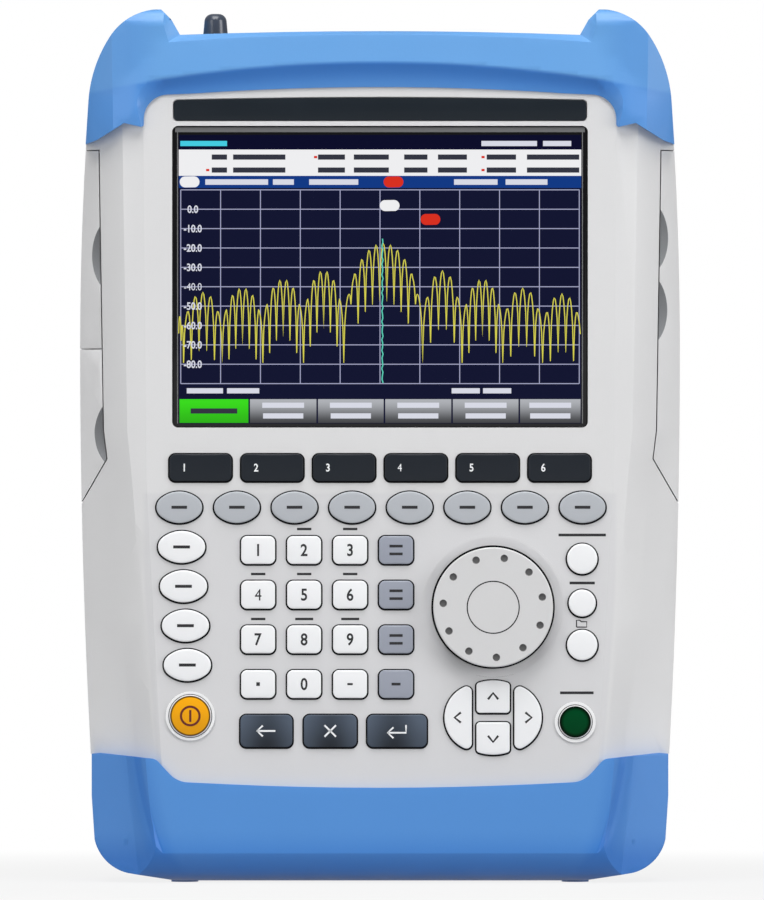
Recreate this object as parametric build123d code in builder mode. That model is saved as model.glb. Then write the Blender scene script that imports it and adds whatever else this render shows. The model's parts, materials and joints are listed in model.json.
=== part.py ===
from build123d import *
import os
from math import hypot, sqrt

os.makedirs("parts", exist_ok=True)

# Driving sizes in millimetres: X across, Y from the face to the back, Z up
picture_width = 134.2
picture_height = 96.2
window_border = 2.0
side_margin = 31.2
keypad_height = 152.0
top_margin = 39.1
overall_depth = 69.0
knob_proud = 6.0
bumper_proud = 3.0

# Walls and fits
wall = 2.5
bumper_wall = 3.2
door_wall = 2.6
bay_wall = 2.0
fit_gap = 0.35
running_gap = 0.1
seat_gap = 0.3
overrun = 12.0
cut_margin = 3.0

# Main places that follow from the driving sizes
window_width = picture_width + 2 * window_border
window_height = picture_height + 2 * window_border
window_half = window_width / 2
half_case = window_half + side_margin
window_bottom_z = keypad_height
window_top_z = window_bottom_z + window_height
case_height = window_top_z + top_margin
knob_face_y = -overall_depth / 2
panel_y = knob_face_y + knob_proud
bumper_front_y = panel_y - bumper_proud
bumper_rear_y = overall_depth / 2
rear_y = bumper_rear_y - bumper_proud
panel_inner_y = panel_y + wall
rear_inner_y = rear_y - wall

# Case facets: how far each line lies behind the panel, and the rounding of the back
crease_drop = 1.1
edge_drop = 7.0
facet_depth = 17.0
rear_slope = 14.0
rear_slope_depth = 16.0
parting_y = 15.6
frame_depth = 3.2


def keypad_z(share):
    """Height of a share of the keypad below the window."""
    return keypad_height * share


def top_z(share):
    """Height of a share of the margin above the window."""
    return window_top_z + top_margin * share


# Case sections: height, then the panel edge, crease and door edge as shares of the side margin
case_sections = [
    (keypad_z(0.0), 0.045, 0.07, 0.26),
    (keypad_z(0.283), 0.125, 0.196, 0.405),
    (keypad_z(0.58), 0.205, 0.317, 0.596),
    (keypad_z(0.88), 0.28, 0.434, 0.67),
    (keypad_z(0.993), 0.285, 0.487, 0.738),
    (top_z(1.0), 0.325, 0.56, 0.81),
]
waist_z = window_bottom_z + 0.26 * window_height
case_floor_z = keypad_z(0.045)
case_top_z = top_z(0.61)
case_top_half = window_half + 0.865 * side_margin
case_floor_half = window_half + 0.815 * side_margin
floor_corner = 12.0
top_corner = 20.0
deck_z = top_z(0.25)


def front_plane(y):
    """Plane that faces the user at depth y, with X across and Z up as its own axes."""
    return Plane.XZ.offset(-y)


def edge_half_width(height):
    """Half width of the door edge line at a height, straight between the case sections."""
    for lower, upper in zip(case_sections, case_sections[1:]):
        if height <= upper[0]:
            break
    along = (height - lower[0]) / (upper[0] - lower[0])
    return window_half + side_margin * (lower[3] + (upper[3] - lower[3]) * along)


def side_half_width(height):
    """Half width of the bowed side at a height."""
    end_z, end_half = (case_top_z, case_top_half) if height > waist_z else (case_floor_z, case_floor_half)
    drop = half_case - end_half
    radius = ((end_z - waist_z) ** 2 + drop**2) / (2 * drop)
    return half_case - radius + sqrt(radius**2 - (height - waist_z) ** 2)


def side_outline(inset, bottom_z, upper_z):
    """Front view of the case with bowed sides, narrower by inset."""
    with BuildSketch() as outline:
        with BuildLine():
            upper = TangentArc(
                (half_case - inset, waist_z), (side_half_width(upper_z) - inset, upper_z), tangent=(0, 1)
            )
            lower = TangentArc(
                (half_case - inset, waist_z), (side_half_width(bottom_z) - inset, bottom_z), tangent=(0, -1)
            )
            Polyline(upper @ 1, (0, upper_z), (0, bottom_z), lower @ 1)
        make_face()
        mirror(about=Plane.YZ)
    return outline.sketch


def core_outline(inset, bottom_z, upper_z, low_radius, high_radius):
    """Bowed outline with rounded corners, as the case has under its bumpers."""
    with BuildSketch() as outline:
        add(side_outline(inset, bottom_z, upper_z))
        corners = outline.vertices().filter_by(lambda vertex: abs(vertex.X) > window_half)
        fillet(corners.group_by(Axis.Y)[0], radius=low_radius)
        corners = outline.vertices().filter_by(lambda vertex: abs(vertex.X) > window_half)
        fillet(corners.group_by(Axis.Y)[-1], radius=high_radius)
    return outline.sketch


def case_form(grow, front_y, back_y, outline):
    """Faceted form from the floor to the horns, cut to an outline in the front view."""
    with BuildPart() as form:
        for height, panel_share, crease_share, edge_share in case_sections:
            right = [
                (window_half + side_margin * panel_share + grow, front_y),
                (window_half + side_margin * crease_share + grow, front_y + crease_drop),
                (window_half + side_margin * edge_share + grow, front_y + edge_drop),
                (half_case + fit_gap + grow, front_y + facet_depth),
                (half_case + fit_gap + grow, back_y - rear_slope_depth),
                (half_case - rear_slope / 3 + grow, back_y - rear_slope_depth / 3),
                (half_case - rear_slope + grow, back_y),
            ]
            left = [(-x, y) for x, y in reversed(right)]
            with BuildSketch(Plane.XY.offset(height)):
                with BuildLine():
                    Polyline(*right, *left, close=True)
                make_face()
        loft(ruled=True)
        with BuildSketch(front_plane(0)):
            add(outline)
        extrude(amount=overall_depth, both=True, mode=Mode.INTERSECT)
    return form.part


# Outlines of the two bumpers in the front view
def top_bumper_region():
    """Front view region of the top bumper, open past the outline of the case."""
    corner_x = half_case * 0.785
    with BuildSketch() as region:
        with BuildLine():
            inner = FilletPolyline(
                (half_case + overrun, top_z(-0.27)),
                (half_case * 0.942, top_z(-0.115)),
                (half_case * 0.85, top_z(0.028)),
                (corner_x, top_z(-0.01)),
                (corner_x, top_z(0.262)),
                (half_case * 0.62, top_z(0.28)),
                radius=[0, 0, side_margin * 0.03, side_margin * 0.26],
            )
            ThreePointArc(inner @ 1, (0, top_z(0.335)), (-(inner @ 1).X, (inner @ 1).Y))
            mirror(inner, about=Plane.YZ)
            Polyline(
                inner @ 0,
                (half_case + overrun, case_height + overrun),
                (-half_case - overrun, case_height + overrun),
                (-(inner @ 0).X, (inner @ 0).Y),
            )
        make_face()
    return region.sketch


def top_bumper_outline():
    """Outer front view of the top bumper with its two horns."""
    with BuildSketch() as outline:
        with BuildLine():
            side = TangentArc(
                (half_case, waist_z), (side_half_width(top_z(0.225)), top_z(0.225)), tangent=(0, 1)
            )
            shoulder = TangentArc(side @ 1, (half_case * 0.897, top_z(0.77)), tangent=side % 1)
            horn = TangentArc(shoulder @ 1, (half_case * 0.75, case_height), tangent=shoulder % 1)
            tip = Polyline(
                horn @ 1, (half_case * 0.728, case_height), (half_case * 0.693, top_z(0.91)),
                (half_case * 0.665, top_z(0.782)),
            )
            ThreePointArc(tip @ 1, (0, top_z(0.813)), (-(tip @ 1).X, (tip @ 1).Y))
            for edge in (side, shoulder, horn, tip):
                mirror(edge, about=Plane.YZ)
            Line(side @ 0, (-(side @ 0).X, (side @ 0).Y))
        make_face()
    return outline.sketch


def bottom_bumper_region():
    """Front view region of the bottom bumper, open past the outline of the case."""
    with BuildSketch() as region:
        with BuildLine():
            inner = FilletPolyline(
                (half_case + overrun, keypad_z(0.27)),
                (half_case * 0.93, keypad_z(0.284)),
                (half_case * 0.745, keypad_z(0.272)),
                (half_case * 0.675, keypad_z(0.222)),
                (half_case * 0.5, keypad_z(0.2165)),
                radius=[side_margin * 0.1, side_margin * 0.12, side_margin * 0.28],
            )
            ThreePointArc(inner @ 1, (0, keypad_z(0.209)), (-(inner @ 1).X, (inner @ 1).Y))
            mirror(inner, about=Plane.YZ)
            Polyline(
                inner @ 0, (half_case + overrun, -overrun), (-half_case - overrun, -overrun),
                (-(inner @ 0).X, (inner @ 0).Y),
            )
        make_face()
    return region.sketch


foot_height = 0.6
bumper_side_half = window_half + 0.872 * side_margin


def bottom_bumper_outline():
    """Outer front view of the bottom bumper, with its rounded corners."""
    with BuildSketch() as outline:
        with BuildLine():
            base = Line((0, foot_height), (half_case * 0.68, foot_height))
            heel = Line(base @ 1, (half_case * 0.84, keypad_z(0.021)))
            corner = ThreePointArc(
                heel @ 1, (half_case * 0.916, keypad_z(0.05)), (bumper_side_half * 0.99, keypad_z(0.094))
            )
            flank = Polyline(
                corner @ 1, (bumper_side_half, keypad_z(0.19)), (bumper_side_half, keypad_z(0.34)),
                (0, keypad_z(0.34)),
            )
            Line(flank @ 1, base @ 0)
        make_face()
        mirror(about=Plane.YZ)
    return outline.sketch


def round_in_depth(front_radius, rear_radius, low_front_radius):
    """Side view that rounds the top and bottom of the bumpers, as one prism across the case."""
    with BuildPart() as prism:
        with BuildSketch(Plane.YZ):
            with BuildLine():
                FilletPolyline(
                    (bumper_front_y, 0),
                    (bumper_front_y, case_height),
                    (bumper_rear_y, case_height),
                    (bumper_rear_y, 0),
                    radius=[low_front_radius, front_radius, rear_radius, rear_radius],
                    close=True,
                )
            make_face()
        extrude(amount=half_case + overrun, both=True)
    return prism.part


# Case solids: the filled outside, the space inside, and the shell between them
with BuildSketch() as case_outline:
    add(side_outline(0, case_floor_z, case_top_z))
    add(top_bumper_region(), mode=Mode.SUBTRACT)
    add(bottom_bumper_region(), mode=Mode.SUBTRACT)
    add(core_outline(bumper_wall, case_floor_z, case_top_z, floor_corner, top_corner))

case_outer = case_form(0, panel_y, rear_y, case_outline.sketch)
case_inner = case_form(
    -wall, panel_inner_y, rear_inner_y,
    core_outline(bumper_wall + wall, case_floor_z + wall, deck_z - wall, floor_corner - wall, wall),
)

# Connector bay between the horns
bay_half = half_case * 0.64
bay_front_y = panel_y + bay_wall + wall
bay_rear_y = rear_y - bay_wall - wall
bay_depth = bay_rear_y - bay_front_y
bay_centre_y = (bay_front_y + bay_rear_y) / 2

# Openings behind the side doors and the battery lid
door_top_z = top_z(-0.195)
door_low_z = keypad_z(0.93)
door_heel_z = keypad_z(0.835)
door_seam_z = waist_z
hinge_inset = 2.0
knuckle_radius = 1.9
hinge_pin_radius = 0.9
hinge_pin_length = 3.5
ear_radius = 2.3
ear_height = 4.5
ear_clearance = 0.5
ear_clear_radius = ear_radius + ear_clearance
hinge_clearance = 1.0
opening_rear_y = parting_y - frame_depth
hinge_y = opening_rear_y - hinge_inset - hinge_clearance


def door_outline():
    """Right-hand door opening in the front view, from the bumper to its slanted lower end."""
    slant = (door_low_z - door_heel_z) / 10
    with BuildSketch() as outline:
        with BuildLine():
            Polyline(
                (edge_half_width(door_top_z), door_top_z),
                (edge_half_width(case_sections[4][0]), case_sections[4][0]),
                (edge_half_width(door_low_z), door_low_z),
                (half_case, door_heel_z - slant),
                (half_case + overrun, door_heel_z - slant),
                (half_case + overrun, door_top_z),
                close=True,
            )
        make_face()
    return outline.sketch


# Keypad: places as shares of the window's half width and of the keypad height
key_gap = 0.25
key_lip = 0.4
key_rise = 1.2
key_travel = 0.8
key_edge = 0.5
key_flange = 1.0
key_corner = 2.0
switch_height = 1.2
switch_size = 5.0
keypad_board_thickness = 1.6
key_stem = 2.2
soft_key_pitch = 23.93
soft_key_gap = 3.25
soft_key_height = 9.0
function_key_pitch = 19.2
function_key_gap = 4.0
function_key_height = 10.5
oval_end_share = 0.74
column_key_width = 15.7
column_key_height = 10.7
digit_key_width = 11.3
digit_key_height = 9.3
wide_key_height = 10.8
back_key_width = 17.3
cancel_key_width = 17.6
enter_key_width = 19.8
power_key_diameter = 14.1
power_ring_diameter = 16.5
preset_key_diameter = 11.1
preset_ring_diameter = 13.7
round_key_diameter = 10.1
small_round_key_diameter = 9.0
cursor_width = 11.1
cursor_gap = 3.1
cursor_radius = 16.2
cursor_top = 12.4
cursor_side_gap = 1.55
cursor_side_height = 22.0
knob_diameter = 39.9


def oval(width, height):
    """Oval key outline of four arcs that run smoothly into each other."""
    half = width / 2
    rise = height / 2
    end_radius = rise * oval_end_share
    flat_radius = ((half - end_radius) ** 2 + rise**2 - end_radius**2) / (2 * (rise - end_radius))
    reach = flat_radius / (flat_radius - end_radius)
    joint_x = (half - end_radius) * reach
    joint_y = (flat_radius - rise) * (reach - 1)
    with BuildSketch() as outline:
        with BuildLine():
            ThreePointArc((-joint_x, joint_y), (0, rise), (joint_x, joint_y))
            ThreePointArc((joint_x, joint_y), (half, 0), (joint_x, -joint_y))
            ThreePointArc((joint_x, -joint_y), (0, -rise), (-joint_x, -joint_y))
            ThreePointArc((-joint_x, -joint_y), (-half, 0), (-joint_x, joint_y))
        make_face()
    return outline.sketch


def block(width, height):
    """Key outline with four rounded corners."""
    with BuildSketch() as outline:
        RectangleRounded(width, height, min(key_corner, height / 3))
    return outline.sketch


def disc(diameter):
    """Round key outline."""
    with BuildSketch() as outline:
        Circle(diameter / 2)
    return outline.sketch


def cursor_end(turn):
    """Upper or lower cursor key: straight sides and an arched outer end."""
    low = cursor_gap / 2
    shoulder = cursor_top - key_edge * 2
    with BuildSketch() as outline:
        with BuildLine():
            ThreePointArc((-cursor_width / 2, shoulder), (0, cursor_top), (cursor_width / 2, shoulder))
            Polyline(
                (cursor_width / 2, shoulder), (cursor_width / 2, low), (-cursor_width / 2, low),
                (-cursor_width / 2, shoulder),
            )
        make_face()
        fillet(outline.vertices(), radius=key_corner * 0.6)
    return outline.sketch.rotate(Axis.Z, turn)


def cursor_side(turn):
    """Left or right cursor key: a straight inner side and a bowed outer side."""
    inner = cursor_width / 2 + cursor_side_gap
    half = cursor_side_height / 2
    with BuildSketch() as outline:
        with BuildLine():
            ThreePointArc((inner, -half), (cursor_radius, 0), (inner, half))
            Line((inner, half), (inner, -half))
        make_face()
        fillet(outline.vertices(), radius=key_corner * 0.9)
    return outline.sketch.rotate(Axis.Z, turn)


keys = {}


def place_key(name, outline, x_share, z_share):
    """Note one key: its outline, and its place as shares of the keypad."""
    keys[name] = (outline, window_half * x_share, keypad_z(z_share))


function_names = ["bandwidth", "sweep", "trace", "lines", "mode", "measure", "marker", "marker_to"]
column_names = ["frequency", "span", "amplitude", "user"]
digit_rows = [
    ["1", "2", "3", "ghz"], ["4", "5", "6", "mhz"], ["7", "8", "9", "khz"], ["point", "0", "sign", "hz"],
]
soft_step_share = soft_key_pitch / window_half
function_step_share = function_key_pitch / window_half
for index in range(6):
    place_key(
        f"softkey_{index + 1}", block(soft_key_pitch - soft_key_gap, soft_key_height),
        (index - 2.5) * soft_step_share, 0.911,
    )
for index, name in enumerate(function_names):
    place_key(
        "key_" + name, oval(function_key_pitch - function_key_gap, function_key_height),
        (index - 3.5) * function_step_share + 0.0045, 0.824,
    )
for index, name in enumerate(column_names):
    place_key(
        "key_" + name, oval(column_key_width, column_key_height), -0.957 + 0.0093 * index,
        0.737 - 0.0863 * index,
    )
for row, names in enumerate(digit_rows):
    for column, name in enumerate(names):
        place_key(
            "key_" + name, block(digit_key_width, digit_key_height), -0.588 + 0.2218 * column,
            0.7303 - 0.098 * row,
        )
place_key("key_back", block(back_key_width, wide_key_height), -0.548, 0.3336)
place_key("key_cancel", block(cancel_key_width, wide_key_height), -0.24, 0.3336)
place_key("key_enter", block(enter_key_width, wide_key_height), 0.082, 0.3336)
place_key("power_key", disc(power_key_diameter), -0.915, 0.3664)
place_key("preset_key", disc(preset_key_diameter), 0.942, 0.3533)
place_key("key_save_recall", disc(round_key_diameter), 0.9754, 0.711)
place_key("key_setup", disc(small_round_key_diameter), 0.9754, 0.614)
place_key("key_folder", disc(round_key_diameter), 0.9754, 0.522)
place_key("cursor_up", cursor_end(0), 0.5455, 0.363)
place_key("cursor_down", cursor_end(180), 0.5455, 0.363)
place_key("cursor_right", cursor_side(0), 0.5455, 0.363)
place_key("cursor_left", cursor_side(180), 0.5455, 0.363)

# Layers behind the keypad
flange_front_y = panel_inner_y + seat_gap
flange_rear_y = flange_front_y + key_flange
stem_rear_y = flange_rear_y + key_stem
switch_front_y = stem_rear_y + key_travel + seat_gap
keypad_board_y = switch_front_y + switch_height
keypad_post_shares = [(0.84, 0.747), (-0.753, 0.69), (-0.753, 0.408), (0.832, 0.266)]
keypad_post_diameter = 4.0


def switch_shift(name):
    """Sideways place of the switch of a cursor key from the centre of the cross."""
    sideways = {"cursor_right": 1, "cursor_left": -1}.get(name, 0)
    return sideways * (cursor_width / 2 + cursor_side_gap + cursor_radius) / 2


def switch_lift(name):
    """Height of the switch of a cursor key above the centre of the cross."""
    upward = {"cursor_up": 1, "cursor_down": -1}.get(name, 0)
    return upward * (cursor_gap / 2 + cursor_top) / 2


# Knob and the dish around it
knob_x = window_half * 0.5455
knob_z = keypad_z(0.605)
dish_diameter = 45.6
dish_lip = 0.6
dish_depth = 1.6
dish_floor_y = panel_y + dish_depth
dish_back_y = dish_floor_y + wall
knob_skirt_y = dish_floor_y - seat_gap
shaft_diameter = 6.0
dimple_count = 11
dimple_circle_diameter = 33.4
dimple_diameter = 2.5
dimple_depth = 0.8
knob_disc_diameter = 16.9
knob_groove = 0.4
encoder_size = 14.0

# Connectors on the deck, left to right as the user sees them
jack_set_back = 22.0
jack_y = panel_y + jack_set_back
jack_thread_diameter = 15.88
jack_thread_length = 14.0
jack_flange_diameter = 20.0
jack_flange_height = 3.0
jack_bore_diameter = 8.4
jack_tail_share = 0.57
jack_tail_length = 7.0
trigger_thread_diameter = 9.6
trigger_thread_length = 12.0
trigger_bore_diameter = 6.8
trigger_flange_diameter = 14.0
antenna_thread_diameter = 6.35
antenna_thread_length = 11.0
antenna_bore_diameter = 3.8
antenna_flange_diameter = 9.6
cap_diameter = 8.4
cap_tip_diameter = 7.0
cap_drop = 1.0
cap_top_z = case_height - cap_drop
input_x = half_case * 0.36
output_x = -half_case * 0.26
trigger_x = half_case * 0.05
antenna_x = -half_case * 0.549
jack_form = (jack_thread_diameter, jack_thread_length, jack_bore_diameter, jack_flange_diameter)
trigger_form = (
    trigger_thread_diameter, trigger_thread_length, trigger_bore_diameter, trigger_flange_diameter,
)
antenna_form = (
    antenna_thread_diameter, antenna_thread_length, antenna_bore_diameter, antenna_flange_diameter,
)
jacks = [
    (input_x, *jack_form), (output_x, *jack_form), (trigger_x, *trigger_form), (antenna_x, *antenna_form),
]

# Display
display_depth = 7.0
display_overlap = 4.0
window_thickness = 1.7
window_gap = 0.2

# Bare plate between the window and the top bumper
plate_half_share = 1.0
plate_low_z = top_z(0.043)
plate_end_z = top_z(0.23)
plate_top_z = top_z(0.253)
plate_recess = 0.8
plate_thickness = 0.7

# Screws between the two housings
screw_diameter = 3.0
screw_head_diameter = 5.6
screw_head_height = 2.2
screw_length = 26.0
screw_boss_diameter = 7.4
screw_x = window_half + display_overlap + screw_boss_diameter * 0.8
screw_heights = [keypad_z(0.4), keypad_z(0.77), top_z(-0.107)]
screw_places = [(side * screw_x, z) for z in screw_heights for side in (-1, 1)]
screw_seat_y = rear_y - screw_head_height - seat_gap * 2

# Kickstand in the back
stand_width = 110.0
stand_length = 112.0
stand_thickness = 4.0
stand_axis_z = keypad_z(1.32)
stand_barrel_radius = 3.0
stand_pin_radius = 1.5
stand_pin_length = 4.0
stand_grip_width = 30.0
stand_grip_height = 9.0
stand_axis_y = rear_y - stand_barrel_radius
stand_pocket_y = rear_y - stand_thickness - seat_gap
stand_low_z = stand_axis_z - stand_length
stand_panel_z = stand_axis_z - stand_length * 0.48
stand_panel_width = stand_width * 0.62
stand_panel_length = stand_length * 0.5

# Battery and its sleeve
battery_length = 86.0
battery_height = 96.0
battery_thickness = 17.0
battery_gap = 0.3
sleeve_wall = 1.6
battery_x = half_case * 0.915
battery_y = opening_rear_y - battery_thickness / 2 - battery_gap - sleeve_wall
battery_z = (door_top_z + door_low_z) / 2

# Main board, port board and port jacks
board_thickness = 1.6
module_height = 6.0
main_board_x = -window_half * 0.565
main_board_y = parting_y
post_diameter = 6.0
port_bay_depth = 7.5
bay_floor_x = edge_half_width(waist_z) - port_bay_depth
port_length = 12.0
port_rise = 4.5
port_set_back = 23.0
port_y = panel_y + port_set_back
port_wall = 1.2
upper_port_drops = [17.0, 39.0]
lower_port_drops = [10.0, 25.0]
port_heights = [door_top_z - drop for drop in upper_port_drops]
port_heights += [door_seam_z - drop for drop in lower_port_drops]
port_widths = [16.0, 14.5, 10.0, 9.4]
port_depths = [13.5, 7.2, 6.6, 9.4]
port_jacks = list(zip(port_heights, port_widths, port_depths))

# Shell of both housings with the deck of the connector bay
with BuildPart() as case_shell:
    add(case_outer)
    add(case_inner, mode=Mode.SUBTRACT)
    with BuildSketch(Plane.XY.offset(deck_z)):
        with Locations((0, bay_centre_y)):
            Rectangle(2 * bay_half, bay_depth)
    extrude(amount=case_height, mode=Mode.SUBTRACT)


# Hinges of the port doors: each axis runs just inside the bowed side of the case
def hinge_plane(low_z, high_z):
    """Plane at the lower end of a door hinge, square to its axis."""
    low = Vector(-(side_half_width(low_z) - hinge_inset), hinge_y, low_z)
    high = Vector(-(side_half_width(high_z) - hinge_inset), hinge_y, high_z)
    return Plane(origin=low, x_dir=(1, 0, 0), z_dir=high - low), (high - low).length


low_hinge_z = door_heel_z + hinge_inset * 2
port_doors = {
    "upper_port_door": (door_seam_z + fit_gap / 2, door_top_z - fit_gap),
    "lower_port_door": (low_hinge_z, door_seam_z - fit_gap / 2),
}
with BuildPart() as hinge_ears:
    for low_z, high_z in port_doors.values():
        axis_plane, axis_length = hinge_plane(low_z, high_z)
        for start in (0, axis_length - ear_height):
            with BuildSketch(axis_plane.offset(start)):
                Circle(ear_radius)
                with Locations((hinge_inset, (opening_rear_y - hinge_y) / 2 + fit_gap)):
                    Rectangle(3 * hinge_inset, opening_rear_y - hinge_y + 2 * fit_gap)
            extrude(amount=ear_height)
    add(case_outer, mode=Mode.INTERSECT)


def plate_outline(inset):
    """Bare plate above the window, with an arched upper edge."""
    half = window_half * plate_half_share - inset
    with BuildSketch() as outline:
        with BuildLine():
            ThreePointArc(
                (-half, plate_end_z - inset), (0, plate_top_z - inset), (half, plate_end_z - inset)
            )
            Polyline(
                (-half, plate_end_z - inset), (-half, plate_low_z + inset), (half, plate_low_z + inset),
                (half, plate_end_z - inset),
            )
        make_face()
        fillet(outline.vertices(), radius=key_corner * 0.8)
    return outline.sketch


# Front housing
window_centre_z = (window_bottom_z + window_top_z) / 2
with BuildPart() as bay_block:
    with BuildSketch(front_plane(parting_y)):
        with Locations((-(bay_floor_x + overrun / 2), (door_heel_z + door_top_z) / 2)):
            Rectangle(overrun + 2 * bay_wall, door_top_z - door_heel_z + 4 * bay_wall)
    extrude(amount=parting_y - panel_inner_y - edge_drop / 2)
    add(case_outer, mode=Mode.INTERSECT)

with BuildPart() as screw_bosses:
    with BuildSketch(front_plane(parting_y)):
        with Locations(*screw_places):
            Circle(screw_boss_diameter / 2)
    extrude(amount=parting_y - panel_y)
    add(case_outer, mode=Mode.INTERSECT)

with BuildPart() as front_housing:
    add(case_shell)
    split(bisect_by=front_plane(parting_y), keep=Keep.TOP)
    add(bay_block)
    # Thicker floor under the dish, posts for the keypad board, and the key rings
    with BuildSketch(front_plane(dish_back_y)):
        with Locations((knob_x, knob_z)):
            Circle(dish_diameter / 2 + dish_lip)
    extrude(amount=dish_back_y - panel_y - wall / 2)
    with BuildSketch(front_plane(keypad_board_y)):
        with Locations(*[(window_half * x, keypad_z(z)) for x, z in keypad_post_shares]):
            Circle(keypad_post_diameter / 2)
    extrude(amount=keypad_board_y - panel_inner_y + wall / 2)
    with BuildSketch(front_plane(panel_y + wall / 2)):
        with Locations(keys["power_key"][1:]):
            Circle(power_ring_diameter / 2)
        with Locations(keys["preset_key"][1:]):
            Circle(preset_ring_diameter / 2)
    extrude(amount=wall / 2 + key_edge)
    # Dish of the knob and hole of its shaft
    with BuildSketch(front_plane(dish_floor_y)):
        with Locations((knob_x, knob_z)):
            Circle(dish_diameter / 2)
    extrude(amount=dish_depth + overrun, taper=-20, mode=Mode.SUBTRACT)
    with BuildSketch(front_plane(dish_back_y + cut_margin)):
        with Locations((knob_x, knob_z)):
            Circle(shaft_diameter / 2 + running_gap * 3)
    extrude(amount=overrun, mode=Mode.SUBTRACT)
    # Window
    with BuildSketch(front_plane(panel_inner_y + wall)):
        with Locations((0, window_centre_z)):
            RectangleRounded(window_width + 2 * window_gap, window_height + 2 * window_gap, key_corner)
    extrude(amount=2 * wall + cut_margin, mode=Mode.SUBTRACT)
    # Recess of the bare plate
    with BuildSketch(front_plane(panel_y + plate_recess)):
        add(plate_outline(0))
    extrude(amount=2 * wall, mode=Mode.SUBTRACT)
    # Key holes
    with BuildSketch(front_plane(panel_inner_y + wall)):
        for outline, x, z in keys.values():
            with Locations((x, z)):
                add(offset(outline, amount=key_gap, mode=Mode.PRIVATE))
    extrude(amount=2 * wall + cut_margin, mode=Mode.SUBTRACT)
    # Screw bosses
    add(screw_bosses)
    with BuildSketch(front_plane(parting_y)):
        with Locations(*screw_places):
            Circle(screw_diameter / 2 + running_gap / 2)
    extrude(amount=screw_length, mode=Mode.SUBTRACT)
    # Openings for the port doors and the battery lid
    with BuildSketch(front_plane(opening_rear_y)):
        add(door_outline())
        mirror(about=Plane.YZ)
    extrude(amount=overall_depth, mode=Mode.SUBTRACT)
    # Port bay behind the doors, with its hinge ears and holes for the jacks
    with BuildSketch(front_plane(hinge_y)):
        with Locations((-(bay_floor_x + half_case) / 2, (door_low_z + door_top_z) / 2)):
            Rectangle(half_case - bay_floor_x, door_top_z - door_low_z - 2 * bay_wall)
    extrude(amount=hinge_y - panel_y - edge_drop - wall, mode=Mode.SUBTRACT)
    add(hinge_ears)
    for low_z, high_z in port_doors.values():
        axis_plane, axis_length = hinge_plane(low_z, high_z)
        for start in (ear_height - hinge_pin_length, axis_length - ear_height):
            with BuildSketch(axis_plane.offset(start - seat_gap)):
                Circle(hinge_pin_radius + running_gap)
            extrude(amount=hinge_pin_length + 2 * seat_gap, mode=Mode.SUBTRACT)
    with BuildSketch(Plane.YZ.offset(-bay_floor_x - bay_wall)):
        for z, width, depth in port_jacks:
            with Locations((port_y, z)):
                Rectangle(depth + 2 * fit_gap, width + 2 * fit_gap)
    extrude(amount=3 * bay_wall, mode=Mode.SUBTRACT)
    # Holes for the jacks in the deck
    with BuildSketch(Plane.XY.offset(deck_z + wall)):
        for x, thread, length, bore, flange in jacks:
            with Locations((x, jack_y)):
                Circle(thread * jack_tail_share / 2 + running_gap)
    extrude(amount=-3 * wall, mode=Mode.SUBTRACT)
front_housing.part.label = "front_housing"
export_step(front_housing.part, "parts/front_housing.step")


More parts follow.
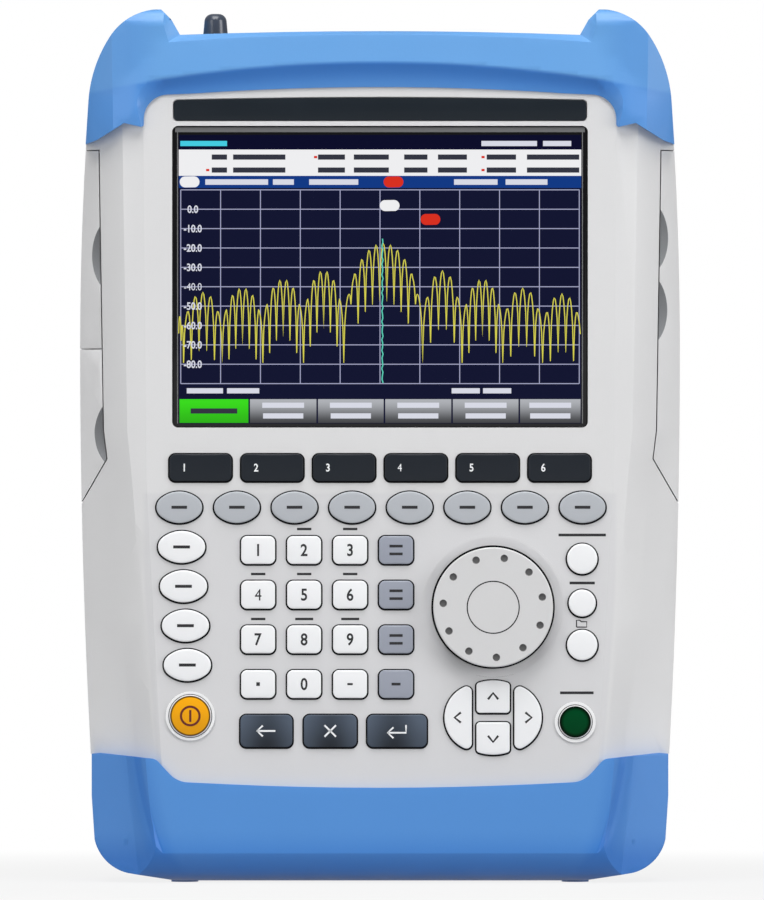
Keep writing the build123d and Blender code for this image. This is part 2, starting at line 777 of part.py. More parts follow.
# Rear housing with the stand pocket, battery sleeve, posts and screw bosses
sleeve_length = battery_length + 2 * battery_gap + sleeve_wall
sleeve_height = battery_height + 2 * (battery_gap + sleeve_wall)
sleeve_depth = battery_thickness + 2 * (battery_gap + sleeve_wall)
sleeve_x = battery_x - sleeve_length
stand_low_pocket_z = stand_low_z - stand_grip_height
with BuildPart() as rear_housing:
    add(case_shell)
    split(bisect_by=front_plane(parting_y), keep=Keep.BOTTOM)
    # Floor of the stand pocket
    with BuildSketch(front_plane(rear_y - wall / 2)):
        with Locations((0, (stand_axis_z + stand_low_pocket_z) / 2)):
            Rectangle(
                stand_width + 2 * (stand_pin_length + wall),
                stand_axis_z - stand_low_pocket_z + 2 * (stand_barrel_radius + wall),
            )
    extrude(amount=2 * stand_barrel_radius + wall)
    # Sleeve of the battery and the ribs that carry it
    with BuildSketch(Plane.YZ.offset(sleeve_x)):
        with Locations((battery_y, battery_z)):
            Rectangle(sleeve_depth, sleeve_height)
    extrude(amount=sleeve_length)
    with BuildSketch(front_plane(rear_inner_y + wall / 2)):
        with Locations((sleeve_x + sleeve_length / 2, battery_z)):
            with GridLocations(0, sleeve_height * 0.84, 1, 2):
                Rectangle(sleeve_length * 0.8, sleeve_wall * 2)
    extrude(amount=rear_inner_y - battery_y)
    # Posts of the main board and screw bosses
    with BuildSketch(front_plane(main_board_y)):
        with Locations((-window_half * 0.525, (keypad_z(0.33) + top_z(-0.1)) / 2)):
            with GridLocations(window_half * 0.85, top_z(-0.1) - keypad_z(0.33), 2, 2):
                Circle(post_diameter / 2)
    extrude(amount=-(rear_inner_y + wall / 2 - main_board_y))
    with BuildSketch(front_plane(parting_y)):
        with Locations(*screw_places):
            Circle(screw_boss_diameter / 2 + wall / 2)
    extrude(amount=-(rear_y - wall / 2 - parting_y))
    # Inside of the sleeve
    with BuildSketch(Plane.YZ.offset(sleeve_x + sleeve_wall)):
        with Locations((battery_y, battery_z)):
            Rectangle(battery_thickness + 2 * battery_gap, battery_height + 2 * battery_gap)
    extrude(amount=sleeve_length + overrun, mode=Mode.SUBTRACT)
    # Pocket of the stand, deeper at its barrel, with a grip below
    with BuildSketch(front_plane(stand_pocket_y)):
        with Locations((0, (stand_axis_z + stand_low_z) / 2)):
            Rectangle(stand_width + 2 * fit_gap, stand_axis_z - stand_low_z + 2 * fit_gap)
        with Locations((0, stand_low_z)):
            Rectangle(stand_grip_width, 2 * stand_grip_height)
    extrude(amount=-overrun, mode=Mode.SUBTRACT)
    with BuildSketch(front_plane(stand_axis_y - stand_barrel_radius - fit_gap)):
        with Locations((0, stand_axis_z)):
            Rectangle(stand_width + 2 * fit_gap, 2 * (stand_barrel_radius + fit_gap))
    extrude(amount=-overrun, mode=Mode.SUBTRACT)
    with BuildSketch(Plane.YZ):
        with Locations((stand_axis_y, stand_axis_z)):
            Circle(stand_pin_radius + running_gap)
    extrude(amount=stand_width / 2 + stand_pin_length + running_gap, both=True, mode=Mode.SUBTRACT)
    # Screw holes and the seats of their heads
    with BuildSketch(front_plane(parting_y)):
        with Locations(*screw_places):
            Circle(screw_diameter / 2 + running_gap)
    extrude(amount=-overall_depth, mode=Mode.SUBTRACT)
    with BuildSketch(front_plane(screw_seat_y)):
        with Locations(*screw_places):
            Circle(screw_head_diameter / 2 + running_gap)
    extrude(amount=-overall_depth, mode=Mode.SUBTRACT)
rear_housing.part.label = "rear_housing"
export_step(rear_housing.part, "parts/rear_housing.step")

# Screws: pan heads on plain shanks
with BuildPart() as housing_screws:
    with BuildSketch(front_plane(screw_seat_y)):
        with Locations(*screw_places):
            Circle(screw_head_diameter / 2)
    extrude(amount=-screw_head_height)
    head_faces = housing_screws.faces().sort_by(Axis.Y)[-len(screw_places):]
    fillet(head_faces.edges(), radius=screw_head_height * 0.35)
    with BuildSketch(front_plane(screw_seat_y)):
        with Locations(*screw_places):
            Circle(screw_diameter / 2)
    extrude(amount=screw_length)
    with BuildSketch(front_plane(screw_seat_y + screw_head_height)):
        with Locations(*screw_places):
            Rectangle(screw_diameter, screw_diameter * 0.25)
            Rectangle(screw_diameter * 0.25, screw_diameter)
    extrude(amount=screw_head_height * 0.6, mode=Mode.SUBTRACT)
housing_screws.part.label = "housing_screws"
export_step(housing_screws.part, "parts/housing_screws.step")

# Kickstand: plate with a hinge barrel, pins at both ends and a notch for the finger
with BuildPart() as kickstand:
    with BuildSketch(front_plane(rear_y - stand_thickness)):
        with Locations((0, (stand_axis_z + stand_low_z) / 2)):
            Rectangle(stand_width, stand_axis_z - stand_low_z)
    extrude(amount=-stand_thickness)
    fillet(kickstand.edges().filter_by(Axis.Y).group_by(Axis.Z)[0], radius=stand_grip_height)
    with BuildSketch(front_plane(rear_y - stand_thickness)):
        with Locations((0, stand_panel_z)):
            RectangleRounded(stand_panel_width, stand_panel_length, stand_grip_height)
    extrude(amount=-stand_thickness / 2)
    with BuildSketch(Plane.YZ):
        with Locations((stand_axis_y, stand_axis_z)):
            Circle(stand_barrel_radius)
    extrude(amount=stand_width / 2, both=True)
    with BuildSketch(Plane.YZ):
        with Locations((stand_axis_y, stand_axis_z)):
            Circle(stand_pin_radius)
    extrude(amount=stand_width / 2 + stand_pin_length, both=True)
    with BuildSketch(front_plane(rear_y - stand_thickness / 2)):
        with Locations((0, stand_panel_z)):
            RectangleRounded(stand_panel_width, stand_panel_length, stand_grip_height)
    extrude(amount=-stand_thickness, mode=Mode.SUBTRACT)
kickstand.part.label = "kickstand"
export_step(kickstand.part, "parts/kickstand.step")

# Bumpers over both ends of the case
bumper_front_radius = 6.0
bumper_rear_radius = 7.0
bumper_low_radius = 16.0
bumper_rounding = round_in_depth(bumper_front_radius, bumper_rear_radius, bumper_low_radius)
with BuildSketch() as top_bumper_face:
    add(top_bumper_region())
    add(top_bumper_outline(), mode=Mode.INTERSECT)
with BuildSketch() as bottom_bumper_face:
    add(bottom_bumper_region())
    add(bottom_bumper_outline(), mode=Mode.INTERSECT)
top_bumper_form = case_form(bumper_proud, bumper_front_y, bumper_rear_y, top_bumper_face.sketch)
bottom_bumper_form = case_form(bumper_proud, bumper_front_y, bumper_rear_y, bottom_bumper_face.sketch)

band_edge = 0.8
chamfer_depth = 3.2


def arch_face(points, crown_z, corner_radius):
    """Front view face with mirrored side points, an arc over the middle and a straight closing line."""
    with BuildSketch() as face:
        with BuildLine():
            side = FilletPolyline(*points, radius=corner_radius) if corner_radius else Polyline(*points)
            ThreePointArc(side @ 1, (0, crown_z), (-(side @ 1).X, (side @ 1).Y))
            mirror(side, about=Plane.YZ)
            Line(side @ 0, (-(side @ 0).X, (side @ 0).Y))
        make_face()
    return face.sketch


# Band below the arched ridge of the face: it falls back from the ridge to the lower edge
band_low_edge = [
    (half_case * 0.785, top_z(-0.06)), (half_case * 0.785, top_z(0.262)), (half_case * 0.62, top_z(0.28)),
]
band_ridge = [
    (half_case * 0.79, top_z(-0.06)), (half_case * 0.832, top_z(0.412)), (half_case * 0.62, top_z(0.48)),
]
with BuildPart() as band_cutter:
    with BuildSketch(front_plane(panel_y - band_edge)):
        add(arch_face(band_low_edge, top_z(0.335), side_margin * 0.26))
    with BuildSketch(front_plane(bumper_front_y - fit_gap)):
        add(arch_face(band_ridge, top_z(0.583), side_margin * 0.3))
    loft(ruled=True)

# Chamfer along the upper edge between the horns, widest where it runs up their inner sides
chamfer_front = [
    (half_case * 0.737, case_height + fit_gap), (half_case * 0.722, top_z(0.86)),
    (half_case * 0.707, top_z(0.71)),
]
chamfer_back = [
    (half_case * 0.727, case_height + fit_gap), (half_case * 0.69, top_z(0.915)),
    (half_case * 0.662, top_z(0.79)),
]
with BuildPart() as chamfer_cutter:
    with BuildSketch(front_plane(bumper_front_y - fit_gap)):
        add(arch_face(chamfer_front, top_z(0.783), 0))
    with BuildSketch(front_plane(bumper_front_y + chamfer_depth)):
        add(arch_face(chamfer_back, top_z(0.821), 0))
    loft(ruled=True)

with BuildPart() as top_bumper:
    add(top_bumper_form)
    add(bumper_rounding, mode=Mode.INTERSECT)
    add(case_outer, mode=Mode.SUBTRACT)
    with BuildSketch(Plane.XY.offset(deck_z)):
        with Locations((0, bay_centre_y)):
            Rectangle(2 * bay_half, bay_depth)
    extrude(amount=case_height, mode=Mode.SUBTRACT)
    add(band_cutter.part, mode=Mode.SUBTRACT)
    add(chamfer_cutter.part, mode=Mode.SUBTRACT)
top_bumper.part.label = "top_bumper"
export_step(top_bumper.part, "parts/top_bumper.step")

pod_step = 1.2
pod_slope = 58.0
foot_length = 17.0
foot_width = 9.0
foot_front_y = bumper_front_y + bumper_low_radius + foot_length / 2
foot_rear_y = bumper_rear_y - bumper_rear_radius - foot_length / 2
with BuildPart() as bottom_bumper:
    add(bottom_bumper_form)
    add(bumper_rounding, mode=Mode.INTERSECT)
    add(case_outer, mode=Mode.SUBTRACT)
    with BuildSketch(Plane.XY):
        with Locations((0, (foot_front_y + foot_rear_y) / 2)):
            with GridLocations(2 * window_half * 0.945, foot_rear_y - foot_front_y, 2, 2):
                SlotOverall(foot_length, foot_width, rotation=90)
    extrude(amount=foot_height * 4)
    # Face between the two corner pods, a little lower than they are
    with BuildSketch(front_plane(bumper_front_y + pod_step)):
        with BuildLine():
            crease = ThreePointArc(
                (half_case * 0.79, keypad_z(0.3)), (half_case * 0.757, keypad_z(0.143)),
                (half_case * 0.675, -keypad_z(0.01)),
            )
            mirror(crease, about=Plane.YZ)
            Line(crease @ 0, (-(crease @ 0).X, (crease @ 0).Y))
            Line(crease @ 1, (-(crease @ 1).X, (crease @ 1).Y))
        make_face()
    extrude(amount=pod_step * 1.5, taper=-pod_slope, mode=Mode.SUBTRACT)
bottom_bumper.part.label = "bottom_bumper"
export_step(bottom_bumper.part, "parts/bottom_bumper.step")

# Side doors and the battery lid: slices of the case side with a hollow inside
lid_outline = offset(door_outline(), amount=-fit_gap, kind=Kind.INTERSECTION)
door_hollow = case_form(
    -door_wall, panel_y + door_wall, rear_y, side_outline(door_wall, case_floor_z, case_top_z)
)
scoop_length = 20.6
scoop_reach = 5.1
scoop_depth = 4.2
scoop_wall = 1.4
scoop_circle = (scoop_length**2 / 4 + scoop_reach**2) / (2 * scoop_reach)
scoop_outset = scoop_circle - scoop_reach
scoop_lift = (scoop_circle**2 - scoop_outset**2 - scoop_depth**2) / (2 * scoop_depth)
scoop_radius = hypot(scoop_lift, scoop_circle)
scoop_places = {
    "upper_port_door": [top_z(-1.104)],
    "lower_port_door": [keypad_z(0.98)],
    "battery_lid": [top_z(-0.955), top_z(-1.57)],
}


def scoop_centre(side, height):
    """Centre of the ball that hollows a finger scoop at the front edge of a door."""
    edge = edge_half_width(height)
    across = half_case - edge
    behind = facet_depth - edge_drop
    slant = hypot(across, behind)
    x = edge + fit_gap + (behind * scoop_lift - across * scoop_outset) / slant
    y = panel_y + edge_drop - (across * scoop_lift + behind * scoop_outset) / slant
    return (side * x, y, height)


scoop_centres = [
    scoop_centre(1 if name == "battery_lid" else -1, height)
    for name, heights in scoop_places.items() for height in heights
]
with BuildPart() as scoop_backs:
    with Locations(*scoop_centres):
        Sphere(scoop_radius + scoop_wall)
    add(case_outer, mode=Mode.INTERSECT)

with BuildPart() as side_skin:
    add(case_outer)
    add(door_hollow, mode=Mode.SUBTRACT)
    add(scoop_backs.part)
    with Locations(*scoop_centres):
        Sphere(scoop_radius, mode=Mode.SUBTRACT)

for name, (low_z, high_z) in port_doors.items():
    axis_plane, axis_length = hinge_plane(low_z, high_z)
    panel_low_z = low_z if low_z > door_seam_z else door_heel_z - overrun
    with BuildPart() as door:
        add(side_skin.part)
        with BuildSketch(front_plane(hinge_y)):
            mirror(lid_outline, about=Plane.YZ)
            with Locations((-half_case, (panel_low_z + high_z) / 2)):
                Rectangle(half_case, high_z - panel_low_z, mode=Mode.INTERSECT)
        extrude(amount=overall_depth, mode=Mode.INTERSECT)
        for start in (-overrun, axis_length - ear_height - fit_gap):
            with BuildSketch(axis_plane.offset(start)):
                Circle(ear_clear_radius)
            extrude(amount=overrun + ear_height + fit_gap, mode=Mode.SUBTRACT)
        with BuildSketch(axis_plane.offset(ear_height + fit_gap)):
            Circle(knuckle_radius)
        extrude(amount=axis_length - 2 * ear_height - 2 * fit_gap)
        with BuildSketch(axis_plane.offset(ear_height - hinge_pin_length)):
            Circle(hinge_pin_radius)
        extrude(amount=axis_length - 2 * ear_height + 2 * hinge_pin_length)
    door.part.label = name
    export_step(door.part, f"parts/{name}.step")

with BuildPart() as battery_lid:
    add(side_skin.part)
    with BuildSketch(front_plane(opening_rear_y - fit_gap)):
        add(lid_outline)
    extrude(amount=overall_depth, mode=Mode.INTERSECT)
battery_lid.part.label = "battery_lid"
export_step(battery_lid.part, "parts/battery_lid.step")

# Battery pack with a pull tab at its outer end
with BuildPart() as battery_pack:
    with Locations((battery_x - battery_length / 2 - battery_gap, battery_y, battery_z)):
        Box(battery_length, battery_thickness, battery_height)
    fillet(battery_pack.edges().filter_by(Axis.X), radius=key_corner)
    with BuildSketch(Plane.YZ.offset(battery_x - battery_gap)):
        with Locations((battery_y, battery_z)):
            SlotOverall(battery_height * 0.3, battery_thickness * 0.3, rotation=90)
    extrude(amount=bay_wall / 2)
battery_pack.part.label = "battery_pack"
export_step(battery_pack.part, "parts/battery_pack.step")

# Display module: cover window bonded to the display behind the panel
with BuildPart() as display_module:
    with BuildSketch(front_plane(panel_inner_y + display_depth)):
        with Locations((0, window_centre_z)):
            Rectangle(window_width + 2 * display_overlap, window_height + 2 * display_overlap)
    extrude(amount=display_depth)
    with BuildSketch(front_plane(panel_inner_y)):
        with Locations((0, window_centre_z)):
            RectangleRounded(window_width, window_height, key_corner - window_gap)
    extrude(amount=window_thickness)
    # Bare plate above the window
    with BuildSketch(front_plane(panel_y + plate_recess)):
        add(plate_outline(window_gap))
    extrude(amount=plate_thickness)
display_module.part.label = "display_module"
export_step(display_module.part, "parts/display_module.step")

# Boards: keypad board with switches and encoder, main board with its RF module, port board with jacks
keypad_board_top_z = window_bottom_z - display_overlap - bay_wall
keypad_board_low_z = keypad_z(0.235)
with BuildPart() as circuit_boards:
    with BuildSketch(front_plane(keypad_board_y + keypad_board_thickness)):
        with Locations((0, (keypad_board_low_z + keypad_board_top_z) / 2)):
            Rectangle(window_width + 2 * bay_wall, keypad_board_top_z - keypad_board_low_z)
    extrude(amount=keypad_board_thickness)
    with BuildSketch(front_plane(keypad_board_y)):
        for name, (outline, x, z) in keys.items():
            with Locations((x + switch_shift(name), z + switch_lift(name))):
                Circle(switch_size / 2)
    extrude(amount=switch_height)
    with BuildSketch(front_plane(keypad_board_y)):
        with Locations((knob_x, knob_z)):
            Rectangle(encoder_size, encoder_size)
    extrude(amount=keypad_board_y - dish_back_y - seat_gap)
    with BuildSketch(front_plane(keypad_board_y)):
        with Locations((knob_x, knob_z)):
            Circle(shaft_diameter / 2 + running_gap / 2)
    extrude(amount=overrun, mode=Mode.SUBTRACT)
    main_board_low_z = keypad_z(0.22)
    main_board_top_z = deck_z - jack_tail_length - wall - seat_gap
    with BuildSketch(front_plane(main_board_y)):
        with Locations((main_board_x, (main_board_low_z + main_board_top_z) / 2)):
            Rectangle(window_half * 1.03, main_board_top_z - main_board_low_z)
    extrude(amount=board_thickness)
    with BuildSketch(front_plane(main_board_y - board_thickness)):
        with Locations((main_board_x, window_centre_z)):
            RectangleRounded(window_half * 0.85, window_height * 0.8, key_corner)
        with Locations((main_board_x, keypad_z(0.6))):
            RectangleRounded(window_half * 0.6, keypad_height * 0.3, key_corner)
    extrude(amount=module_height)
    with BuildSketch(Plane.YZ.offset(-bay_floor_x + bay_wall + fit_gap / 2)):
        with Locations((port_y, (door_low_z + door_top_z) / 2)):
            Rectangle((hinge_y - port_y) * 2, door_top_z - door_low_z - 4 * bay_wall)
    extrude(amount=board_thickness)
    with BuildSketch(Plane.YZ.offset(-bay_floor_x - port_rise)):
        for z, width, depth in port_jacks:
            with Locations((port_y, z)):
                Rectangle(depth, width)
    extrude(amount=port_length)
    with BuildSketch(Plane.YZ.offset(-bay_floor_x - port_rise)):
        for z, width, depth in port_jacks:
            with Locations((port_y, z)):
                Rectangle(depth - 2 * port_wall, width - 2 * port_wall)
    extrude(amount=port_length - port_wall, mode=Mode.SUBTRACT)
circuit_boards.part.label = "circuit_boards"
export_step(circuit_boards.part, "parts/circuit_boards.step")

# Keys: cap, flange behind the panel and stem
for name, (outline, x, z) in keys.items():
    with BuildPart() as key:
        with BuildSketch(front_plane(flange_rear_y)):
            with Locations((x, z)):
                add(outline)
        extrude(amount=flange_rear_y - panel_y + key_rise)
        fillet(key.faces().sort_by(Axis.Y)[0].edges(), radius=key_edge)
        with BuildSketch(front_plane(flange_rear_y)):
            with Locations((x, z)):
                add(offset(outline, amount=key_lip, mode=Mode.PRIVATE))
        extrude(amount=key_flange)
        with BuildSketch(front_plane(stem_rear_y)):
            with Locations((x + switch_shift(name), z + switch_lift(name))):
                Circle(switch_size / 2)
        extrude(amount=key_stem)
    key.part.label = name
    export_step(key.part, f"parts/{name}.step")

# Knob with its shaft
with BuildPart() as rotary_knob:
    with BuildSketch(front_plane(knob_skirt_y)):
        with Locations((knob_x, knob_z)):
            Circle(knob_diameter / 2)
    extrude(amount=knob_skirt_y - knob_face_y)
    fillet(rotary_knob.faces().sort_by(Axis.Y)[0].edges(), radius=key_rise)
    with BuildSketch(front_plane(knob_face_y + knob_groove)):
        with Locations((knob_x, knob_z)):
            Circle(knob_disc_diameter / 2 + knob_groove)
            Circle(knob_disc_diameter / 2, mode=Mode.SUBTRACT)
    extrude(amount=overrun, mode=Mode.SUBTRACT)
    with BuildSketch(front_plane(knob_face_y)):
        with Locations((knob_x, knob_z)):
            with PolarLocations(dimple_circle_diameter / 2, dimple_count, start_angle=110):
                Circle(dimple_diameter / 2)
    extrude(amount=-dimple_depth, taper=20, mode=Mode.SUBTRACT)
    with BuildSketch(front_plane(keypad_board_y - seat_gap)):
        with Locations((knob_x, knob_z)):
            Circle(shaft_diameter / 2)
    extrude(amount=keypad_board_y - seat_gap - knob_skirt_y + key_edge)
rotary_knob.part.label = "rotary_knob"
export_step(rotary_knob.part, "parts/rotary_knob.step")

# Connectors on the deck, with the dust cap over the antenna jack
with BuildPart() as top_connectors:
    for x, thread, length, bore, flange in jacks:
        with BuildSketch(Plane.XY.offset(deck_z)):
            with Locations((x, jack_y)):
                Circle(flange / 2)
        extrude(amount=jack_flange_height)
        with BuildSketch(Plane.XY.offset(deck_z)):
            with Locations((x, jack_y)):
                Circle(thread / 2)
        extrude(amount=jack_flange_height + length)
        with BuildSketch(Plane.XY.offset(deck_z)):
            with Locations((x, jack_y)):
                Circle(thread * jack_tail_share / 2)
        extrude(amount=-jack_tail_length - wall)
        with BuildSketch(Plane.XY.offset(deck_z + jack_flange_height + length)):
            with Locations((x, jack_y)):
                Circle(bore / 2)
        extrude(amount=-length * 0.64, mode=Mode.SUBTRACT)
        with BuildSketch(Plane.XY.offset(deck_z + jack_flange_height)):
            with Locations((x, jack_y)):
                Circle(bore * 0.2 / 2)
        extrude(amount=length * 0.8)
    # Dust cap, hollow over the antenna jack
    cap_floor_z = deck_z + jack_flange_height + seat_gap
    cap_bore = antenna_thread_diameter / 2 + running_gap
    cap_bore_top_z = deck_z + jack_flange_height + antenna_thread_length + seat_gap
    with BuildSketch(front_plane(jack_y)):
        with BuildLine():
            Polyline(
                (antenna_x, cap_bore_top_z), (antenna_x + cap_bore, cap_bore_top_z),
                (antenna_x + cap_bore, cap_floor_z), (antenna_x + cap_diameter / 2, cap_floor_z),
                (antenna_x + cap_diameter / 2, top_z(0.78)), (antenna_x + cap_tip_diameter / 2, cap_top_z),
                (antenna_x, cap_top_z), close=True,
            )
        make_face()
    revolve(axis=Axis((antenna_x, jack_y, 0), (0, 0, 1)))
    fillet(top_connectors.faces().sort_by(Axis.Z)[-1].edges(), radius=cap_tip_diameter * 0.38)
top_connectors.part.label = "top_connectors"
export_step(top_connectors.part, "parts/top_connectors.step")
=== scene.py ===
import json
from math import cos, pi, radians, sin

import bmesh
import bpy
from bpy.props import FloatProperty, FloatVectorProperty, IntProperty, PointerProperty
from mathutils import Matrix, Vector
from mathutils.geometry import convex_hull_2d


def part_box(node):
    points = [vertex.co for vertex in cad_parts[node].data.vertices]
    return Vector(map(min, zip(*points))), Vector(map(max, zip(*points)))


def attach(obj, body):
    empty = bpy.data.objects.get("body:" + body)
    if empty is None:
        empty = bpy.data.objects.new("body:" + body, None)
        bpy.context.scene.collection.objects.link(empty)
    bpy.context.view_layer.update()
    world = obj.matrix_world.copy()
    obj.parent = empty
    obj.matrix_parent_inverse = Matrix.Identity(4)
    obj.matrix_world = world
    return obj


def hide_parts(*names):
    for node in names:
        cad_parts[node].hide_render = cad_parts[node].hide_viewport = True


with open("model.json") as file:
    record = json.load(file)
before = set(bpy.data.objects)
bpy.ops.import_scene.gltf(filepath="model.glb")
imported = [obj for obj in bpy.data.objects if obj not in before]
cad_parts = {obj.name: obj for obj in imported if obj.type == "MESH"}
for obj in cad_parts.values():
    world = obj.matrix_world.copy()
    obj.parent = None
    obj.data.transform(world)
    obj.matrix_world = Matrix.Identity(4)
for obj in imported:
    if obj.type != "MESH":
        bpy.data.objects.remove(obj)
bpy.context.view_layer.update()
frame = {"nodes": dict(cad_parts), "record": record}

bl_info = {
    "name": "Handheld spectrum analyzer",
    "version": (1, 0, 0),
    "blender": (4, 5, 0),
    "location": "View3D > Sidebar > Analyzer",
    "description": "Dresses the analyzer's frame with its finishes, screen and key marks",
    "category": "Object",
}

MM = 0.001
NODES = frame["nodes"]
BODY_OF = {
    node: body for body, nodes in frame["record"]["behaviour"]["bodies"].items() for node in nodes
}
CASE = BODY_OF["front_housing"]
SLOT_OF = {part["node"]: part["material_slot"] for part in frame["record"]["subparts"]}


def node_box(*names):
    """Lowest and highest corner of some nodes together, in millimetres."""
    corners = [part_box(name) for name in names]
    low = [min(box[0][axis] for box in corners) / MM for axis in range(3)]
    high = [max(box[1][axis] for box in corners) / MM for axis in range(3)]
    return Vector(low), Vector(high)


def linear(red, green, blue):
    """Colour of a printed 0 to 255 swatch as the renderer's own values."""
    def channel(value):
        value = value / 255
        return value / 12.92 if value <= 0.04045 else ((value + 0.055) / 1.055) ** 2.4
    return (channel(red), channel(green), channel(blue))


# Faces of the panel and of the window's glass, in millimetres
PANEL_FACE_Y = node_box("front_housing")[0].y + 0.5
SCREEN_FACE_Y = node_box("display_module")[0].y + 0.7
# Keys: depth and fall of the crowned edge, where its face is cut for it, and start of the dark skirt, which
# also stands for shade in the gap
KEY_EDGE, KEY_CROWN, SKIRT_RISE = 0.5, 0.24, 0.25
KEY_CUTS = (-0.92, -0.8, -0.62, -0.4, -0.15, 0.15, 0.4, 0.62, 0.8, 0.92)
# Digits: height of a digit in its type size, share added to its stroke, and squeeze of its width
DIGIT_SHARE, DIGIT_STROKE, DIGIT_SQUEEZE = 0.72, 0.028, 0.86
# Distances in millimetres at which points are joined, and angles in degrees
WELD, DIGIT_WELD, CUT_SNAP = 0.002, 0.001, 0.0005
FLAT_ANGLE, BEVEL_ANGLE = 0.4, 24
# Plastic: spots of its clouds and of its worn patches in millimetres
CLOUD_SIZE, WEAR_SIZE = 38.0, 14.0


# Sizes and colours that a user would change


def size(name, description, value, low=0.0):
    """Length property in millimetres."""
    return FloatProperty(name=name, description=description, default=value, min=low)


def colour(name, description, red, green, blue):
    """Colour property from a printed swatch."""
    return FloatVectorProperty(
        name=name, description=description, default=linear(red, green, blue), min=0.0, max=1.0,
        size=3, subtype="COLOR",
    )


class AnalyzerCase(bpy.types.PropertyGroup):
    housing: colour("Housing", "Light grey of the housings and doors", 219, 219, 220)
    field: colour("Keypad field", "Slightly darker grey around the keys", 213, 213, 215)
    bumper: colour("Bumpers", "Blue of both bumpers", 79, 141, 211)
    plate: colour("Plate", "Slate of the bare plate", 27, 34, 41)
    # The gap colour is painted shade in the gaps round the keys and the knob, and the dark rubber of the
    # keys' skirts
    gap: colour("Gaps", "Dark rubber in the gaps round the keys, the knob and the doors", 24, 25, 28)
    # The finger recesses' grey is painted shade
    recess: colour("Finger recesses", "Shaded grey of the recesses in the doors", 126, 128, 131)
    housing_edge: size("Housing edge", "Rounding of the housing's edges in mm", 0.45)
    bumper_edge: size("Bumper edge", "Rounding of the bumpers' edges in mm", 1.1)
    grain: size("Grain", "Size of the moulded grain in mm", 0.45)
    grain_depth: size("Grain depth", "Depth of the moulded grain in mm", 0.012)


class AnalyzerKeys(bpy.types.PropertyGroup):
    white: colour("White keys", "Plastic of the white keys", 241, 242, 244)
    grey: colour("Oval grey keys", "Plastic of the function keys", 180, 184, 190)
    unit: colour("Unit keys", "Plastic of the unit keys", 152, 157, 170)
    slate: colour("Slate keys", "Plastic of the soft keys and of back, cancel and enter", 31, 36, 43)
    orange: colour("Power key", "Plastic of the power key", 240, 166, 12)
    green: colour("Preset key", "Plastic of the preset key", 0, 66, 32)
    knob: colour("Knob", "Plastic of the knob", 212, 212, 213)
    ink: colour("Dark ink", "Print on light keys", 28, 28, 32)
    pale_ink: colour("Pale ink", "Print on dark keys", 236, 238, 240)
    ink_thickness: size("Ink thickness", "Height of the print above a key in mm", 0.04)
    digit_height: size("Digit height", "Height of the digits on the keys in mm", 4.0)


class AnalyzerScreen(bpy.types.PropertyGroup):
    navy: colour("Graph", "Background of the graph", 12, 16, 48)
    header: colour("Header", "Background of the header", 2, 4, 40)
    readout: colour("Readout", "White band of the readouts", 250, 250, 252)
    marker_band: colour("Marker band", "Blue band of the marker readout", 11, 58, 138)
    grid: colour("Grid", "Lines of the graph", 172, 174, 206)
    trace: colour("Trace", "Curve of the signal", 226, 220, 84)
    marker_line: colour("Marker line", "Upright line of the marker", 96, 214, 190)
    active: colour("Active button", "Button that is chosen", 52, 205, 22)
    button: colour("Buttons", "Buttons at the foot of the screen", 132, 134, 138)
    border: colour("Border", "Black border of the cover window", 10, 10, 13)
    glow: FloatProperty(name="Glow", description="Brightness of the picture", default=0.92, min=0.0)
    columns: IntProperty(name="Columns", description="Columns of the graph", default=10, min=1)
    rows: IntProperty(name="Rows", description="Lines across the graph", default=9, min=1)


class AnalyzerStage(bpy.types.PropertyGroup):
    distance: FloatProperty(
        name="Camera distance", description="From the camera to the keypad's face", default=5.0,
        min=0.5, unit="LENGTH",
    )
    scale: FloatProperty(
        name="Image scale", description="Image points for each millimetre of the keypad's face",
        default=3.0, min=0.1,
    )
    sky: FloatProperty(name="Sky", description="Strength of the light from all round", default=0.25)
    key_light: FloatProperty(name="Key light", description="Power of the large lamp in watts", default=60.0)
    fill_light: FloatProperty(name="Side light", description="Power of the right lamp in watts", default=22.0)


GROUPS = {
    "analyzer_case": AnalyzerCase, "analyzer_keys": AnalyzerKeys, "analyzer_screen": AnalyzerScreen,
    "analyzer_stage": AnalyzerStage,
}


# Shader maths


class Value:
    """A socket of a material that can be used in plain sums."""

    def __init__(self, paint, socket):
        self.paint = paint
        self.socket = socket

    def _sum(self, operation, *values):
        return self.paint.node("ShaderNodeMath", {"operation": operation}, dict(enumerate(values)))

    def __add__(self, other):
        return self._sum("ADD", self, other)

    def __sub__(self, other):
        return self._sum("SUBTRACT", self, other)

    def __rsub__(self, other):
        return self._sum("SUBTRACT", other, self)

    def __mul__(self, other):
        return self._sum("MULTIPLY", self, other)

    def __abs__(self):
        return self._sum("ABSOLUTE", self)

    __radd__ = __add__

    def low(self, other):
        """The lower of two values."""
        return self._sum("MINIMUM", self, other)

    def high(self, other):
        """The higher of two values."""
        return self._sum("MAXIMUM", self, other)

    def wave(self):
        """Sine of the value."""
        return self._sum("SINE", self)

    def smooth(self, start, end):
        """0 before start and 1 past end, with a soft change between them."""
        return self.paint.node(
            "ShaderNodeMapRange", {"interpolation_type": "SMOOTHSTEP"}, {0: self, 1: start, 2: end}
        )


